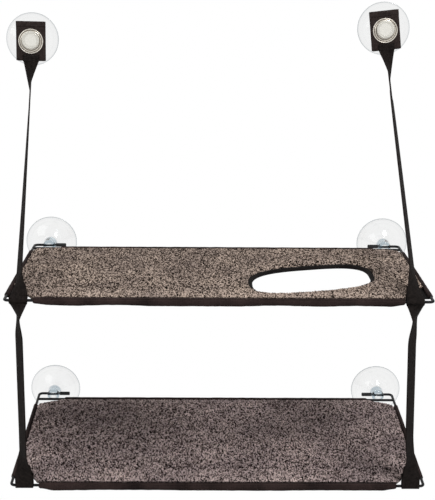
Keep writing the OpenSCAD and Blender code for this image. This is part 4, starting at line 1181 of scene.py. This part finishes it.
def stage_material():
    """White to the camera, in mirrors and through clear vinyl; elsewhere a pale matt floor."""
    material, tree = blank_material("stage white")
    path = add(tree, "LightPath").outputs
    seen = larger(tree, path["Is Camera Ray"], path["Is Glossy Ray"])
    seen = larger(tree, seen, path["Is Transmission Ray"])
    matt = add(tree, "BsdfDiffuse", Color=(0.9, 0.9, 0.9, 1))
    glow = add(tree, "Emission", Strength=1.0)
    both = add(tree, "MixShader", seen, matt.outputs[0], glow.outputs[0])
    put(add(tree, "OutputMaterial"), "Surface", both.outputs[0])
    return material


STAGE = stage_material()
# Each plane runs from a near to a far edge, each at a (y, z)
for name, near, far in (("floor", (STAGE_FRONT_Y, FLOOR_Z), (BACKDROP_Y, FLOOR_Z)),
                        ("backdrop", (BACKDROP_Y, FLOOR_Z), (BACKDROP_Y, BACKDROP_TOP))):
    half = STAGE_HALF_W
    corners = [(-half, *near), (half, *near), (half, *far), (-half, *far)]
    make_object(name, corners, [(0, 1, 2, 3)], STAGE, smooth=False)


def area_light(name, place, target, size, power):
    lamp = bpy.data.lights.new(name, "AREA")
    lamp.energy = power
    lamp.shape = "RECTANGLE"
    lamp.size, lamp.size_y = size
    obj = new_object(name, lamp)
    obj.location = place
    obj.rotation_euler = (Vector(target) - Vector(place)).to_track_quat("-Z", "Y").to_euler()


area_light("key", place=(1.2, -1.6, 2.3), target=(0, -0.15, -0.05), size=(1.1, 0.9), power=36)
area_light("fill", place=(-1.9, -1.8, 1.0), target=(0, -0.15, -0.1), size=(1.8, 1.4), power=13)

# The world lights the object from all sides, and is white to the camera
SKY_LIGHT = 0.55
world = bpy.data.worlds.new("studio")
world.use_nodes = True
bpy.context.scene.world = world
sky = world.node_tree
seen = add(sky, "LightPath").outputs["Is Camera Ray"]
put(sky.nodes["Background"], "Color", (1, 1, 1, 1))
put(sky.nodes["Background"], "Strength", weigh(sky, seen, 1 - SKY_LIGHT, SKY_LIGHT))

scene = bpy.context.scene
scene.view_settings.view_transform = "Standard"

# The camera, fitted to points of the photo: focal length in its pixels, and three angles
FOCAL = 1190.668
IMAGE_H = 500
SENSOR = 36.0
CAMERA_PLACE = (-22.296 * MM, -1867.519 * MM, 465.973 * MM)
PITCH, YAW, ROLL = math.radians(14.397), math.radians(0.716), math.radians(-0.462)
camera_data = bpy.data.cameras.new("camera")
camera_data.sensor_fit = "AUTO"
camera_data.sensor_width = SENSOR
camera_data.lens = FOCAL / IMAGE_H * SENSOR
camera = new_object("camera", camera_data)
camera.matrix_world = (Matrix.Translation(CAMERA_PLACE) @ Matrix.Rotation(-YAW, 4, "Z")
                       @ Matrix.Rotation(math.pi / 2 - PITCH, 4, "X") @ Matrix.Rotation(-ROLL, 4, "Z"))
scene.camera = camera
